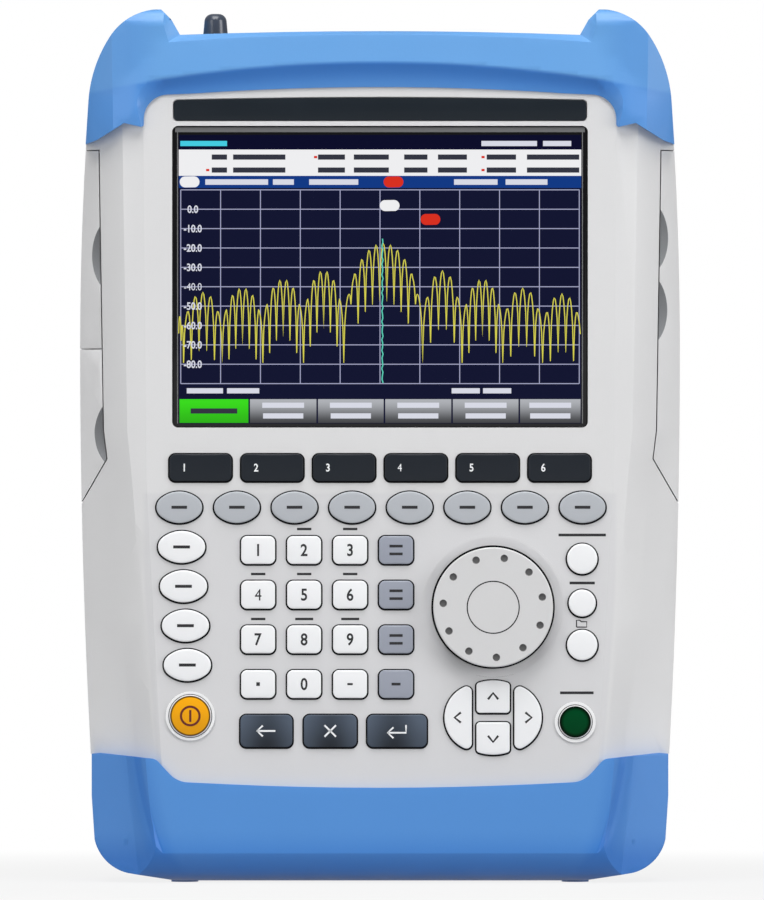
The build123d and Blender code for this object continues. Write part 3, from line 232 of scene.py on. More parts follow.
class Paint:
    """A new material, and the nodes that its look is made of."""

    def __init__(self, name, metallic=0.0, coat_roughness=0.03, specular=0.5):
        self.material = bpy.data.materials.new(name)
        self.material.use_nodes = True
        self.tree = self.material.node_tree
        self.tree.nodes.clear()
        self.shader = self.tree.nodes.new("ShaderNodeBsdfPrincipled")
        self.surface = self.tree.nodes.new("ShaderNodeOutputMaterial")
        self.tree.links.new(self.shader.outputs[0], self.surface.inputs["Surface"])
        self.set("Metallic", metallic)
        self.set("Coat Roughness", coat_roughness)
        self.set("Specular IOR Level", specular)

    def feed(self, socket, value):
        """Links a value to a socket, or sets the socket to it."""
        if isinstance(value, Value):
            self.tree.links.new(value.socket, socket)
        elif socket.type == "RGBA" and len(value) == 3:
            socket.default_value = (*value, 1.0)
        else:
            socket.default_value = value

    def node(self, kind, settings=None, inputs=None, output=0):
        """Any node, from its settings and the values or links of its sockets."""
        made = self.tree.nodes.new(kind)
        for key, value in (settings or {}).items():
            setattr(made, key, value)
        for key, value in (inputs or {}).items():
            self.feed(made.inputs[key], value)
        return Value(self, made.outputs[output])

    def set(self, name, value):
        """Feeds a socket of the shader."""
        self.feed(self.shader.inputs[name], value)

    def place(self):
        """Object coordinates of the surface."""
        return self.node("ShaderNodeTexCoord", output="Object")

    def axes(self):
        """The three object coordinates in millimetres."""
        split = self.node("ShaderNodeSeparateXYZ", inputs={0: self.place()})
        return [Value(self, split.socket.node.outputs[index]) * (1 / MM) for index in range(3)]

    def noise(self, grain, detail=2.0):
        """Cloudy noise whose spots are about grain millimetres across."""
        return self.node(
            "ShaderNodeTexNoise",
            inputs={
                "Vector": self.place(), "Scale": 1 / (grain * MM), "Detail": detail, "Roughness": 0.5,
            },
        )

    def speckle(self, grain):
        """Cells about grain millimetres across, each with its own height."""
        return self.node(
            "ShaderNodeTexVoronoi", {"feature": "SMOOTH_F1"},
            {"Vector": self.place(), "Scale": 1 / (grain * MM), "Smoothness": 0.6},
        )

    def mix(self, share, first, second):
        """Colour between two others."""
        return self.node(
            "ShaderNodeMix", {"data_type": "RGBA", "clamp_factor": True}, {0: share, 6: first, 7: second}, 2
        )

    def relief(self, height, depth):
        """Bumps the surface by a height of 0 to 1, depth millimetres deep."""
        self.set("Normal", self.node("ShaderNodeBump", inputs={"Height": height, "Distance": depth * MM}))


def shade(tone, share):
    """Colour made darker or lighter by a share."""
    return tuple(min(1.0, channel * share) for channel in tone)


def clamp(value):
    """Number held between 0 and 1."""
    return min(max(value, 0.0), 1.0)


def moulded(name, tone, roughness, grain=0.3, depth=0.004, second=None, specular=0.5):
    """Moulded plastic: fine grain, faint clouds of tone and patches that hands have polished."""
    paint = Paint(name, specular=specular)
    clouds = paint.noise(CLOUD_SIZE, 3.0)
    fine = paint.speckle(grain)
    shown = second(paint, tone) if second else tone
    paint.set("Base Color", paint.mix(clouds * 0.09 + fine * 0.03, shown, shade(tone, 0.5)))
    worn = paint.noise(WEAR_SIZE, 4.0).smooth(0.35, 0.75)
    paint.set("Roughness", roughness - worn * 0.07 + fine * 0.05)
    paint.relief(fine, depth)
    return paint.material


def metal(name, tone, roughness=0.25, thread=None):
    """Plated metal, with turned rings along Z, or a thread of the given pitch in millimetres."""
    paint = Paint(name, metallic=1.0)
    _, _, height = paint.axes()
    film = paint.noise(3.0, 3.0)
    paint.set("Base Color", paint.mix(film, shade(tone, 0.9), tone))
    paint.set("Roughness", roughness + film * 0.12)
    rings = (height * (2 * pi / (thread or 0.25))).wave() * 0.5 + 0.5
    paint.relief(rings, 0.5 if thread else 0.006)
    return paint.material


def lit(name, tone, glow, ends=None, fade=(1.0, 1.0)):
    """A colour of the screen's picture: fine columns of points, and a fade from ends[1] up to ends[0]."""
    paint = Paint(name, specular=0.05)
    across, _, height = paint.axes()
    points = (across * (2 * pi / 0.28)).wave() * 0.03 + 0.97
    shown = tone
    if ends:
        shown = paint.mix(height.smooth(ends[1], ends[0]), shade(tone, fade[0]), shade(tone, fade[1]))
    paint.set("Base Color", (0.002, 0.002, 0.003))
    paint.set("Roughness", 0.16 + paint.noise(20.0) * 0.06)
    paint.set("Emission Color", paint.mix(points, (0, 0, 0), shown))
    paint.set("Emission Strength", glow)
    return paint.material


def printed(name, tone):
    """Ink printed on a key or on the panel, a little rough at its edge."""
    paint = Paint(name)
    coat = paint.noise(0.5, 3.0)
    paint.set("Base Color", paint.mix(coat, shade(tone, 0.9), shade(tone, 1.08)))
    paint.set("Roughness", 0.42 + coat * 0.12)
    paint.relief(coat, 0.003)
    return paint.material


def glossy(name, tone, roughness=0.12, specular=0.5, coat=0.4):
    """Polished plastic or cover glass with faint smears."""
    paint = Paint(name, specular=specular)
    smears = paint.noise(16.0, 4.0)
    paint.set("Base Color", paint.mix(smears, shade(tone, 0.94), shade(tone, 1.06)))
    paint.set("Roughness", roughness + smears.smooth(0.4, 0.8) * 0.1)
    paint.set("Coat Weight", coat - smears * coat * 0.25)
    paint.relief(smears, 0.003)
    return paint.material


# Mesh helpers


def placed(name, data):
    """New object in the scene."""
    made = bpy.data.objects.new(name, data)
    bpy.context.scene.collection.objects.link(made)
    return made


def add_piece(name, mesh, body, slot, *materials):
    """Puts a finished mesh in the scene as a piece that rides on a body."""
    piece = placed(name, mesh)
    for material in materials:
        mesh.materials.append(material)
    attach(piece, body)
    return piece


def settle(holder):
    """Plain mesh of an object with its modifiers worked out. The object itself goes."""
    depsgraph = bpy.context.evaluated_depsgraph_get()
    mesh = bpy.data.meshes.new_from_object(holder.evaluated_get(depsgraph), depsgraph=depsgraph)
    bpy.data.objects.remove(holder)
    return mesh


def smooth_mesh(mesh, angle=35):
    """Smooth shading with edges kept sharp above an angle in degrees."""
    mesh.shade_smooth()
    mesh.set_sharp_from_angle(angle=radians(angle))


def form_of(mesh):
    """Editable form of a mesh."""
    form = bmesh.new()
    form.from_mesh(mesh)
    return form


def write_back(form, mesh):
    """Ends the editing of a mesh."""
    form.to_mesh(mesh)
    form.free()
    mesh.update()


def merged_copy(node):
    """Copy of a node's mesh with its loose triangles joined up."""
    mesh = NODES[node].data.copy()
    form = form_of(mesh)
    bmesh.ops.remove_doubles(form, verts=form.verts, dist=WELD * MM)
    bmesh.ops.dissolve_limit(
        form, angle_limit=radians(FLAT_ANGLE), verts=form.verts, edges=form.edges, delimit=set()
    )
    write_back(form, mesh)
    return mesh


def bend(mesh, cuts, move):
    """Cuts a mesh at places (x list, z list) and shifts each point along Y by move(x, y, z), in mm."""
    form = form_of(mesh)
    for across, places in ((Vector((1, 0, 0)), cuts[0]), (Vector((0, 0, 1)), cuts[1])):
        for place in places:
            bmesh.ops.bisect_plane(
                form, geom=form.verts[:] + form.edges[:] + form.faces[:], dist=CUT_SNAP * MM,
                plane_co=across * place * MM, plane_no=across,
            )
    bmesh.ops.triangulate(form, faces=form.faces)
    for vertex in form.verts:
        vertex.co.y += move(*(vertex.co / MM)) * MM
    write_back(form, mesh)


def crisp_front(mesh):
    """Keeps flat faces that look at the user free of the shading of the curves beside them."""
    flats = {}
    for face in mesh.polygons:
        for key in face.edge_keys:
            flats[key] = flats.get(key, False) != (face.normal.y < -0.9999)
    for edge in mesh.edges:
        edge.use_edge_sharp = edge.use_edge_sharp or flats[edge.key]


def stand_in(node, mesh, materials, pick=None):
    """Puts a dressed mesh in a node's place: pick(place in mm, normal) chooses the material of a face."""
    mesh.name = node + "_dressed"
    smooth_mesh(mesh)
    if node in ("rotary_knob", "front_housing"):
        crisp_front(mesh)
    mesh.materials.clear()
    piece = add_piece(mesh.name, mesh, BODY_OF[node], SLOT_OF[node], *materials)
    if pick is not None:
        for face in mesh.polygons:
            face.material_index = pick(face.center / MM, face.normal)
    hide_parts(node)
    return piece


def crowned_key(node, plastic, skirt):
    """Copy of a key with a softly crowned face and a dark skirt below the panel, which is also painted shade
    in the gap round the key.
    """
    low, high = node_box(node)
    middle, half = (low + high) / 2, (high - low) / 2

    def crown(x, y, z):
        near = max(1 - (y - low.y) / KEY_EDGE, 0.0)
        across, up = (x - middle.x) / half.x, (z - middle.z) / half.z
        return KEY_CROWN * near * min((across * across + up * up) ** 2, 1.0)

    mesh = merged_copy(node)
    bend(mesh, [[middle[axis] + half[axis] * step for step in KEY_CUTS] for axis in (0, 2)], crown)
    skirt_y = PANEL_FACE_Y - SKIRT_RISE
    return stand_in(node, mesh, [plastic, skirt], lambda place, normal: int(place.y > skirt_y))


def corner_at(form, x, y, z):
    """New corner of a form, in millimetres."""
    return form.verts.new(Vector((x, y, z)) * MM)


def skin(form, rails, bands, closed=True):
    """Faces between rings of corners, with a material for each corner, and end caps unless closed."""
    for first, second in zip(rails, rails[1:] + rails[:1] * closed):
        for corner, band in enumerate(bands):
            turn = (corner + 1) % len(bands)
            face = form.faces.new((first[corner], second[corner], second[turn], first[turn]))
            face.material_index = band
    if not closed:
        for cap in (rails[0], rails[-1][::-1]):
            form.faces.new(cap).material_index = bands[0]


def turned_ring(name, profile, centre, materials, bands, count=144):
    """Closed ring about an axis that faces the user: profile of (radius, y), bands of material indices."""
    form = bmesh.new()
    rails = []
    for step in range(count):
        turn = 2 * pi * step / count
        rails.append([
            corner_at(form, centre[0] + r * cos(turn), y, centre[1] + r * sin(turn)) for r, y in profile
        ])
    skin(form, rails, bands)
    mesh = form_mesh(name, form)
    smooth_mesh(mesh)
    return add_piece(name, mesh, CASE, "grey_case", *materials)


def outline_of(node):
    """Corners (x, z), in order, of the part of a convex key that stands above the panel."""
    points = {
        (round(place.x, 3), round(place.z, 3))
        for place in (vertex.co / MM for vertex in NODES[node].data.vertices)
        if place.y < PANEL_FACE_Y - 0.1
    }
    points = [Vector(point) for point in sorted(points)]
    return [points[index] for index in convex_hull_2d(points)]


def gasket(form, corners, start, reach):
    """Adds a thin flat ring of painted shade round an outline: start and reach are its inner and outer
    offsets.
    """
    face_y, back_y = PANEL_FACE_Y - 0.02, PANEL_FACE_Y + 0.2
    rails = []
    for before, here, after in zip(corners[-1:] + corners[:-1], corners, corners[1:] + corners[:1]):
        along = (after - before).normalized()
        out = Vector((along.y, -along.x))
        # Wider below a key than above it, as the shadow falls below
        wide = reach * (1 - 0.25 * out.y)
        rails.append([
            corner_at(form, here.x + far * out.x, y, here.y + far * out.y)
            for far, y in ((start, face_y), (wide, face_y), (wide, back_y), (start, back_y))
        ])
    skin(form, rails, [0] * 4)


def rounded_copy(node, edge, materials, pick=None, segments=3, cuts=None, move=None):
    """Copy of a node with its edges rounded, and bent a little if asked, which stands for it."""
    holder = placed(node + "_holder", merged_copy(node))
    bevel = holder.modifiers.new("Edges", "BEVEL")
    bevel.width = edge * MM
    bevel.segments = segments
    bevel.limit_method = "ANGLE"
    bevel.angle_limit = radians(BEVEL_ANGLE)
    bevel.use_clamp_overlap = True
    bevel.miter_outer = "MITER_ARC"
    finished = settle(holder)
    if move is not None:
        bend(finished, cuts, move)
    return stand_in(node, finished, materials, pick)


def dress(node, material):
    """Gives a CAD node a better material."""
    for holder in NODES[node].material_slots:
        holder.material = material


def front_bar(form, low_x, high_x, low_z, high_z, front, thick, index=0):
    """Adds a thin upright box, from its limits, the depth of its face and its thickness."""
    made = bmesh.ops.create_cube(form, size=1.0)["verts"]
    middle = Vector(((low_x + high_x) / 2, front + thick / 2, (low_z + high_z) / 2)) * MM
    spans = Vector((high_x - low_x, thick, high_z - low_z)) * MM
    for vertex in made:
        vertex.co = middle + Vector(a * b for a, b in zip(vertex.co, spans))
    for face in {face for vertex in made for face in vertex.link_faces}:
        face.material_index = index


def ribbon(form, points, width, front, thick, index=0):
    """Adds a flat line of a width that runs through points (x, z) of the front view."""
    rails = []
    for step, (x, z) in enumerate(points):
        before = points[max(step - 1, 0)]
        after = points[min(step + 1, len(points) - 1)]
        along = Vector((after[0] - before[0], after[1] - before[1])).normalized()
        side = Vector((-along.y, along.x)) * width / 2
        rails.append([
            corner_at(form, x + s * side.x, y, z + s * side.y)
            for s, y in ((1, front), (1, front + thick), (-1, front + thick), (-1, front))
        ])
    skin(form, rails, [index] * 4, closed=False)


def form_mesh(name, form):
    """Finished mesh of a form, with its faces turned outwards."""
    bmesh.ops.recalc_face_normals(form, faces=form.faces)
    mesh = bpy.data.meshes.new(name)
    write_back(form, mesh)
    return mesh


def word_mesh(name, text, height, centre, front, thick):
    """Digits as a closed mesh: height in millimetres, centre (x, z), and the depth of their face."""
    curve = bpy.data.curves.new(name, "FONT")
    curve.body = text
    curve.align_x = "CENTER"
    curve.align_y = "CENTER"
    curve.size = height * MM / DIGIT_SHARE
    # A heavier stroke would fill the eye of the 4
    curve.offset = height * MM * (0.0 if "4" in text else DIGIT_STROKE)
    curve.extrude = thick * MM / 2
    curve.resolution_u = 4
    mesh = settle(placed(name, curve))
    places = [vertex.co for vertex in mesh.vertices]
    middle = Vector([(min(p[axis] for p in places) + max(p[axis] for p in places)) / 2 for axis in range(3)])
    for change in (
        Matrix.Translation(-middle),
        Matrix.Scale(DIGIT_SQUEEZE, 4, (1, 0, 0)),
        Matrix.Rotation(pi / 2, 4, "X"),
        Matrix.Translation(Vector((centre[0], front + thick / 2, centre[1])) * MM),
    ):
        mesh.transform(change)
    form = form_of(mesh)
    bmesh.ops.remove_doubles(form, verts=form.verts, dist=DIGIT_WELD * MM)
    return form_mesh(name, form)


# Geometry Nodes


def repeat_tree(name):
    """Tree that lays bars of one size in a row: count, first place, step and bar size are inputs."""
    tree = bpy.data.node_groups.new(name, "GeometryNodeTree")
    sockets = {}
    tree.interface.new_socket("Geometry", in_out="INPUT", socket_type="NodeSocketGeometry")
    for label, kind in (
        ("Count", "Int"), ("First", "Vector"), ("Step", "Vector"), ("Bar size", "Vector"),
        ("Finish", "Material"),
    ):
        socket = tree.interface.new_socket(label, in_out="INPUT", socket_type="NodeSocket" + kind)
        sockets[label] = socket.identifier
    tree.interface.new_socket("Geometry", in_out="OUTPUT", socket_type="NodeSocketGeometry")
    start, line, bar, lay, real, finish, end = (
        tree.nodes.new(kind) for kind in (
            "NodeGroupInput", "GeometryNodeMeshLine", "GeometryNodeMeshCube",
            "GeometryNodeInstanceOnPoints", "GeometryNodeRealizeInstances",
            "GeometryNodeSetMaterial", "NodeGroupOutput",
        )
    )
    for source, given, target, taken in (
        (start, "Count", line, "Count"), (start, "First", line, "Start Location"),
        (start, "Step", line, "Offset"), (start, "Bar size", bar, "Size"),
        (line, "Mesh", lay, "Points"), (bar, "Mesh", lay, "Instance"),
        (lay, "Instances", real, "Geometry"), (real, "Geometry", finish, "Geometry"),
        (start, "Finish", finish, "Material"), (finish, "Geometry", end, "Geometry"),
    ):
        tree.links.new(source.outputs[given], target.inputs[taken])
    return tree, sockets


def row_of_bars(name, count, first, step, bar, material):
    """Piece of the screen that is a row of bars, all sizes in millimetres."""
    tree, sockets = repeat_tree(name + "_row")
    holder = placed(name, bpy.data.meshes.new(name))
    rule = holder.modifiers.new("Row", "NODES")
    rule.node_group = tree
    rule[sockets["Count"]] = count
    rule[sockets["Finish"]] = material
    for label, value in (("First", first), ("Step", step), ("Bar size", bar)):
        rule[sockets[label]] = tuple(Vector(value) * MM)
    mesh = settle(holder)
    mesh.name = name
    add_piece(name, mesh, CASE, "screen_glass")


# Operators: one for each piece or group of like pieces


class ANALYZER_OT_housings(bpy.types.Operator):
    """Front and rear housing with moulded grain and rounded edges, and the dish of the knob"""
    bl_idname = "analyzer.housings"
    bl_label = "Housings"

    def execute(self, context):
        case = context.scene.analyzer_case
        low, high = node_box("display_module")
        field_half = (high.x - low.x) / 2 + 5.6
        field_top = node_box("softkey_1")[1].z - 13.5
        side_blend, top_blend = 1.0, 0.7

        def keypad_field(paint, tone):
            across, deep, height = paint.axes()
            inside = (abs(across) * -1).smooth(-field_half - side_blend, side_blend - field_half)
            below = height.smooth(field_top + top_blend, field_top - top_blend)
            front = deep.smooth(-27.5, -28.0)
            return paint.mix(inside * below * front, tone, case.field)

        plastic = moulded("housing_plastic", case.housing, 0.52, case.grain, case.grain_depth, keypad_field)
        # Dark gap colour: painted shade on the edges of the key holes and in the knob's dish
        gap = moulded("gap_rubber", case.gap, 0.7, specular=0.1)
        # Fronts of the raised rings round some keys: the housing grey made lighter, painted light
        ring = moulded("ring_plastic", shade(case.housing, 1.25), 0.45, case.grain, case.grain_depth)
        panel = PANEL_FACE_Y
        reach, ring_rise, hole_depth = 1.4, 0.7, 3.0
        keys = [node_box(node) for node, slot in SLOT_OF.items() if slot.endswith("_key")]

        def pick(place, normal):
            if not panel - ring_rise < place.y < panel + hole_depth or not any(
                low.x - reach < place.x < high.x + reach and low.z - reach < place.z < high.z + reach
                for low, high in keys
            ):
                return 0
            if place.y < panel - 0.05:
                return 2 if normal.y < -0.9 else 0
            # Painted shade on the edges of the holes round the keys, seen wider at the lower edge, where the
            # shadow under a key falls
            return int(normal.y > (-0.985 if normal.z > 0.1 else -0.93))

        rounded_copy("front_housing", case.housing_edge, [plastic, gap, ring], pick)
        rounded_copy("rear_housing", case.housing_edge, [plastic])
        low, high = node_box("rotary_knob")
        middle, radius = (low + high) / 2, (high.x - low.x) / 2
        # Offsets from the knob's edge and from the panel: the gap first, its floor and wall painted dark as
        # shade, then the flare of the dish
        inner = 3.7 - radius
        profile = (
            (inner, 1.56), (0.62, 1.56), (0.64, 1.1), (0.9, 0.85), (1.8, 0.5), (2.8, 0.15), (3.4, 0.02),
            (3.8, -0.015), (4.2, -0.02), (4.3, 0.4), (3.0, 2.0), (inner, 2.0),
        )
        turned_ring(
            "knob_dish", [(radius + far, panel + y) for far, y in profile], (middle.x, middle.z),
            [plastic, gap], [1, 1] + [0] * 10,
        )
        return {"FINISHED"}


class ANALYZER_OT_doors(bpy.types.Operator):
    """Port doors, battery lid and kickstand in the housings' plastic painted a little lighter, and with
    painted shade in the finger recesses
    """
    bl_idname = "analyzer.doors"
    bl_label = "Doors, lid and stand"

    def execute(self, context):
        case = context.scene.analyzer_case
        # The housing grey made a little lighter for the doors: painted light
        plastic = moulded("door_plastic", shade(case.housing, 1.03), 0.5, case.grain, case.grain_depth)
        recess = moulded("recess_plastic", case.recess, 0.6, case.grain, case.grain_depth)

        def pick(place, normal):
            """Painted shade in the finger recess: faces that look forwards, neither upright nor straight out
            to the side.
            """
            outwards = normal.x * place.x < 0.62 * abs(place.x)
            return int(normal.y < -0.05 and abs(normal.z) < 0.9 and outwards)

        for node in ("upper_port_door", "lower_port_door", "battery_lid"):
            rounded_copy(node, case.housing_edge, [plastic, recess], pick)
        rounded_copy("kickstand", case.housing_edge, [plastic])
        return {"FINISHED"}


class ANALYZER_OT_bumpers(bpy.types.Operator):
    """Both blue bumpers, with soft rounded rims, and painted light and shade on their faces"""
    bl_idname = "analyzer.bumpers"
    bl_label = "Bumpers"

    def execute(self, context):
        case = context.scene.analyzer_case
        front = node_box("top_bumper")[0].y
        base_front = node_box("bottom_bumper")[0].y
        # The ridge of the top bumper is an arch: its top, its drop and half of its width
        arch_top, arch_drop, arch_half = 273.5, 5.6, 72.0
        hollow_width, horn_slope, lean_share, lean_limit = 9.0, 0.9, 0.15, 14.0
        hollow_depth, pod_rise = 0.45, 0.8

        def crease_at(z):
            """Place of the crease beside a corner pod, as a number or as a shader value."""
            return z * 0.42 - z * z * 0.0035 + 69.4

        # Darker blue of the painted shade on both bumpers
        def deep(tone):
            return tone[0] * 0.28, tone[1] * 0.62, tone[2] * 0.84

        # Painted shade on the bottom bumper: darker along the creases beside the pods, over the pods and
        # towards its foot
        def base_shade(paint, tone):
            across, _, height = paint.axes()
            outside = abs(across) - crease_at(height)
            share = abs(outside).smooth(7.0, 0.0) * 0.45 + abs(outside).smooth(1.8, 0.6) * 0.4
            share = share + outside.smooth(-1.0, 3.0) * 0.3
            return paint.mix(share + height.smooth(19.0, 3.0) * 0.9, tone, deep(tone))

        # Painted light on the top bumper: a highlight above the ridge, and painted shade in the hollow band
        # below it
        def ridge_shade(paint, tone):
            across, _, height = paint.axes()
            side = across * (1 / arch_half)
            above = height + side * side * arch_drop - arch_top
            inner = abs(across).smooth(84.0, arch_half)
            highlight_tone = (tone[0] * 1.5, tone[1] * 1.24, min(tone[2] * 1.05, 1.0))
            bright = paint.mix(above.smooth(-0.8, 0.8) * (0.55 + inner * 0.45), tone, highlight_tone)
            hollow = above.smooth(-10.0, -1.0) * above.smooth(0.8, -0.8) * inner
            return paint.mix(hollow, bright, deep(tone))

        def crown(x, y, z):
            """Face leans back above its ridge, and the band under the ridge is hollow."""
            near = clamp((front + 9.0 - y) / 8.0)
            rise = (x / arch_half) ** 2
            ridge = arch_top - arch_drop * rise - horn_slope * max(abs(x) - arch_half, 0.0)
            lean = lean_share * min(max(z - ridge, 0.0), lean_limit)
            within = clamp((ridge - z) / (hollow_width - 3.0 * rise))
            hollow = hollow_depth * sin(pi * within) if abs(x) < arch_half + 2 else 0.0
            return near * (lean + hollow)

        def pods(x, y, z):
            """Face falls towards the creases beside the corner pods, and the pods bulge."""
            near = clamp((base_front + 6.0 - y) / 4.0)
            beside = abs(x) - crease_at(z)
            fall = max(1.0 + beside / 9.0, 0.0) ** 2 if beside < 0 else max(1.0 - beside / 3.0, 0.0)
            return near * fall * pod_rise * clamp((z - 10.0) / 6.0)

        for node, name, paint_of, columns, heights, move in (
            ("top_bumper", "bumper_plastic", ridge_shade, range(0, 96, 6),
             [256 + 1.5 * step for step in range(24)], crown),
            ("bottom_bumper", "bumper_base", base_shade, range(50, 98, 2), range(3, 45, 3), pods),
        ):
            soft = moulded(name, case.bumper, 0.42, 0.6, 0.008, paint_of)
            cuts = ([side * x for x in columns for side in (1, -1)], heights)
            rounded_copy(node, case.bumper_edge, [soft], segments=4, cuts=cuts, move=move)
        return {"FINISHED"}


class ANALYZER_OT_plate(bpy.types.Operator):
    """Bare slate plate above the window, and the black border of the cover window"""
    bl_idname = "analyzer.plate"
    bl_label = "Plate and window"

    def execute(self, context):
        slate = glossy("plate_slate", context.scene.analyzer_case.plate, 0.34, 0.14, 0.04)
        border = glossy("window_border", context.scene.analyzer_screen.border, 0.14, 0.25, 0.1)
        plate_foot = node_box("display_module")[1].z - 9.5

        def pick(place, normal):
            return int(place.z > plate_foot)

        rounded_copy("display_module", 0.25, [border, slate], pick, segments=2)
        return {"FINISHED"}


class ANALYZER_OT_screen(bpy.types.Operator):
    """The lit picture behind the window: header, readouts, graph with its trace, and buttons"""
    bl_idname = "analyzer.screen"
    bl_label = "Screen picture"

    def execute(self, context):
        look = context.scene.analyzer_screen
        left, right, foot, head = -67.1, 67.1, 153.2, 249.4
        layer = 0.02
        thick = layer * 0.8

        # Places on the picture are shares of its width and, from the top, of its height
        def tall(share):
            return head - (head - foot) * share

        def wide(share):
            return left + (right - left) * share

        def level(number):
            return SCREEN_FACE_Y - layer * number

        paints = {
            name: lit("screen_" + name, getattr(look, name), look.glow)
            for name in ("navy", "header", "readout", "marker_band", "grid", "trace", "marker_line")
        }
        for name, fade in (("active", (0.85, 1.3)), ("button", (0.28, 2.1))):
            ends = (tall(0.913), tall(1.0))
            paints[name] = lit("screen_" + name, getattr(look, name), look.glow, ends, fade)
        for name, tone in (
            ("dark_text", (52, 54, 66)), ("pale_text", (226, 228, 240)), ("cyan_text", (70, 214, 236)),
            ("red", (226, 48, 28)),
        ):
            paints[name] = lit("screen_" + name, linear(*tone), look.glow)
        # Grey strips along the top and sides of the window stand for the walls of its recess in shade:
        # painted shade
        paints["rim"] = moulded("window_rim", linear(112, 113, 114), 0.5, 0.3, 0.003, specular=0.2)
        names = list(paints)
        form = bmesh.new()

        def rim(low_x, high_x, low_z, high_z):
            front_bar(form, low_x, high_x, low_z, high_z, level(1), thick, names.index("rim"))

        def bar(name, x0, x1, v0, v1, number):
            front_bar(form, wide(x0), wide(x1), tall(v1), tall(v0), level(number), thick, names.index(name))

        rim_foot, rim_head, rim_reach = head + 0.9, head + 2.5, 1.2
        rim(left - rim_reach, right + rim_reach, rim_foot, rim_head)
        for x in (left - 0.4, right + 0.4):
            rim(x - 0.15, x + 0.15, foot, rim_foot)
        bar("navy", 0, 1, 0, 1, 1)
        for name, v0, v1 in (("header", 0, 0.051), ("readout", 0.051, 0.142), ("marker_band", 0.142, 0.184)):
            bar(name, 0, 1, v0, v1, 2)
        # Words of the screen are left out: plain bars stand where they are
        readouts = (
            (0.082, 0.12), (0.135, 0.265), (0.346, 0.413), (0.435, 0.522), (0.56, 0.618), (0.644, 0.716),
            (0.765, 0.838), (0.865, 0.995),
        )
        markers = ((0.066, 0.222), (0.234, 0.286), (0.324, 0.446), (0.684, 0.792), (0.812, 0.916))
        limits = ((0.02, 0.11), (0.12, 0.2), (0.678, 0.748), (0.756, 0.826))
        for name, v0, v1, spans in (
            ("cyan_text", 0.021, 0.039, ((0.004, 0.12),)),
            ("pale_text", 0.021, 0.039, ((0.752, 0.89), (0.905, 0.975))),
            ("dark_text", 0.068, 0.086, readouts), ("dark_text", 0.113, 0.131, readouts),
            ("red", 0.073, 0.081, ((0.336, 0.344), (0.752, 0.76))),
            ("red", 0.118, 0.126, ((0.068, 0.076), (0.752, 0.76))),
            ("pale_text", 0.154, 0.173, markers), ("pale_text", 0.878, 0.896, limits),
        ):
            for x0, x1 in spans:
                bar(name, x0, x1, v0, v1, 3)
        # Buttons: the first one is chosen
        edges = [0.0, 0.175, 0.344, 0.511, 0.679, 0.846, 1.0]
        for index, (x0, x1) in enumerate(zip(edges, edges[1:])):
            bar("button" if index else "active", x0 + 0.002, x1 - 0.002, 0.916, 0.998, 2)
            middle = (x0 + x1) / 2
            for v, half in ((0.937, 0.052), (0.974, 0.05)) if index else ((0.957, 0.058),):
                name = "pale_text" if index else "dark_text"
                bar(name, middle - half, middle + half, v - 0.009, v + 0.009, 3)
        # Pills of the markers
        half_wide, half_tall, steps = 3.3, 1.85, 24
        for name, x, v in (
            ("readout", 0.524, 0.245), ("red", 0.6253, 0.293), ("readout", 0.027, 0.163),
            ("red", 0.5335, 0.163),
        ):
            points = []
            for step in range(steps):
                turn = 2 * pi * step / steps
                bulge = half_wide - half_tall if cos(turn) > 0 else half_tall - half_wide
                points.append((wide(x) + bulge + half_tall * cos(turn), tall(v) + half_tall * sin(turn)))
            rails = [[corner_at(form, px, y, pz) for px, pz in points] for y in (level(7), level(7) + thick)]
            skin(form, rails, [names.index(name)] * steps, closed=False)
        # Trace: a comb of narrow peaks under broad lobes, each from the last one's end and with its own peak
        graph_top, graph_foot = tall(0.1906), tall(0.8621)
        floor_share, lowest, comb_width, comb_steps, first_span = 0.72, 0.79, 0.0181, 8, 0.1
        lobe_power, comb_power, full_drop, edge_drop = 0.42, 0.55, 0.2, 0.07
        spectrum = []
        low = 0.0
        for high, peak in (
            (0.012, 0.565), (0.108, 0.545), (0.209, 0.53), (0.31, 0.5), (0.41, 0.47), (0.606, 0.375),
            (0.704, 0.47), (0.805, 0.5), (0.904, 0.53), (1.0, 0.55),
        ):
            span = high - low if low else first_span
            count = max(2, round((high - low) / comb_width))
            for step in range(count * comb_steps):
                at = low + (high - low) * step / comb_steps / count
                within = clamp((at - (high - span)) / span)
                envelope = floor_share - (floor_share - peak) * max(sin(pi * within), 0.0) ** lobe_power
                comb = abs(sin(pi * (step % comb_steps) / comb_steps)) ** comb_power
                drop = full_drop if 0.12 < within < 0.88 else edge_drop
                spectrum.append((wide(at), tall(min(envelope + drop * (1 - comb), lowest))))
            low = high
        ribbon(form, spectrum, 0.34, level(5), thick, names.index("trace"))
        wiggle = [
            (wide(0.506) + 0.22 * sin(step * 2.4), tall(0.36 + 0.5 * step / 40)) for step in range(41)
        ]
        ribbon(form, wiggle, 0.42, level(6), thick, names.index("marker_line"))
        add_piece("screen_picture", form_mesh("screen_picture", form), CASE, "screen_glass", *paints.values())
        # Lines of the graph, and the numbers of its scale
        line, start, end = 0.3, wide(0.005), wide(0.995)
        step_z = (graph_top - graph_foot) / (look.rows + 1)
        row_of_bars(
            "graph_columns", look.columns + 1, (start, level(4), (graph_top + graph_foot) / 2),
            ((end - start) / look.columns, 0, 0), (line, layer, graph_top - graph_foot), paints["grid"],
        )
        row_of_bars(
            "graph_rows", look.rows + 2, ((left + right) / 2, level(4), graph_foot),
            (0, 0, step_z), (end - start, layer, line), paints["grid"],
        )
        for index in range(9):
            name, height = f"scale_number_{index}", graph_top - step_z * (index + 1)
            number = word_mesh(name, f"{-10 * index}.0", 2.5, (wide(0.035), height), level(8), layer * 0.6)
            add_piece(name, number, CASE, "screen_glass", paints["pale_text"])
        return {"FINISHED"}


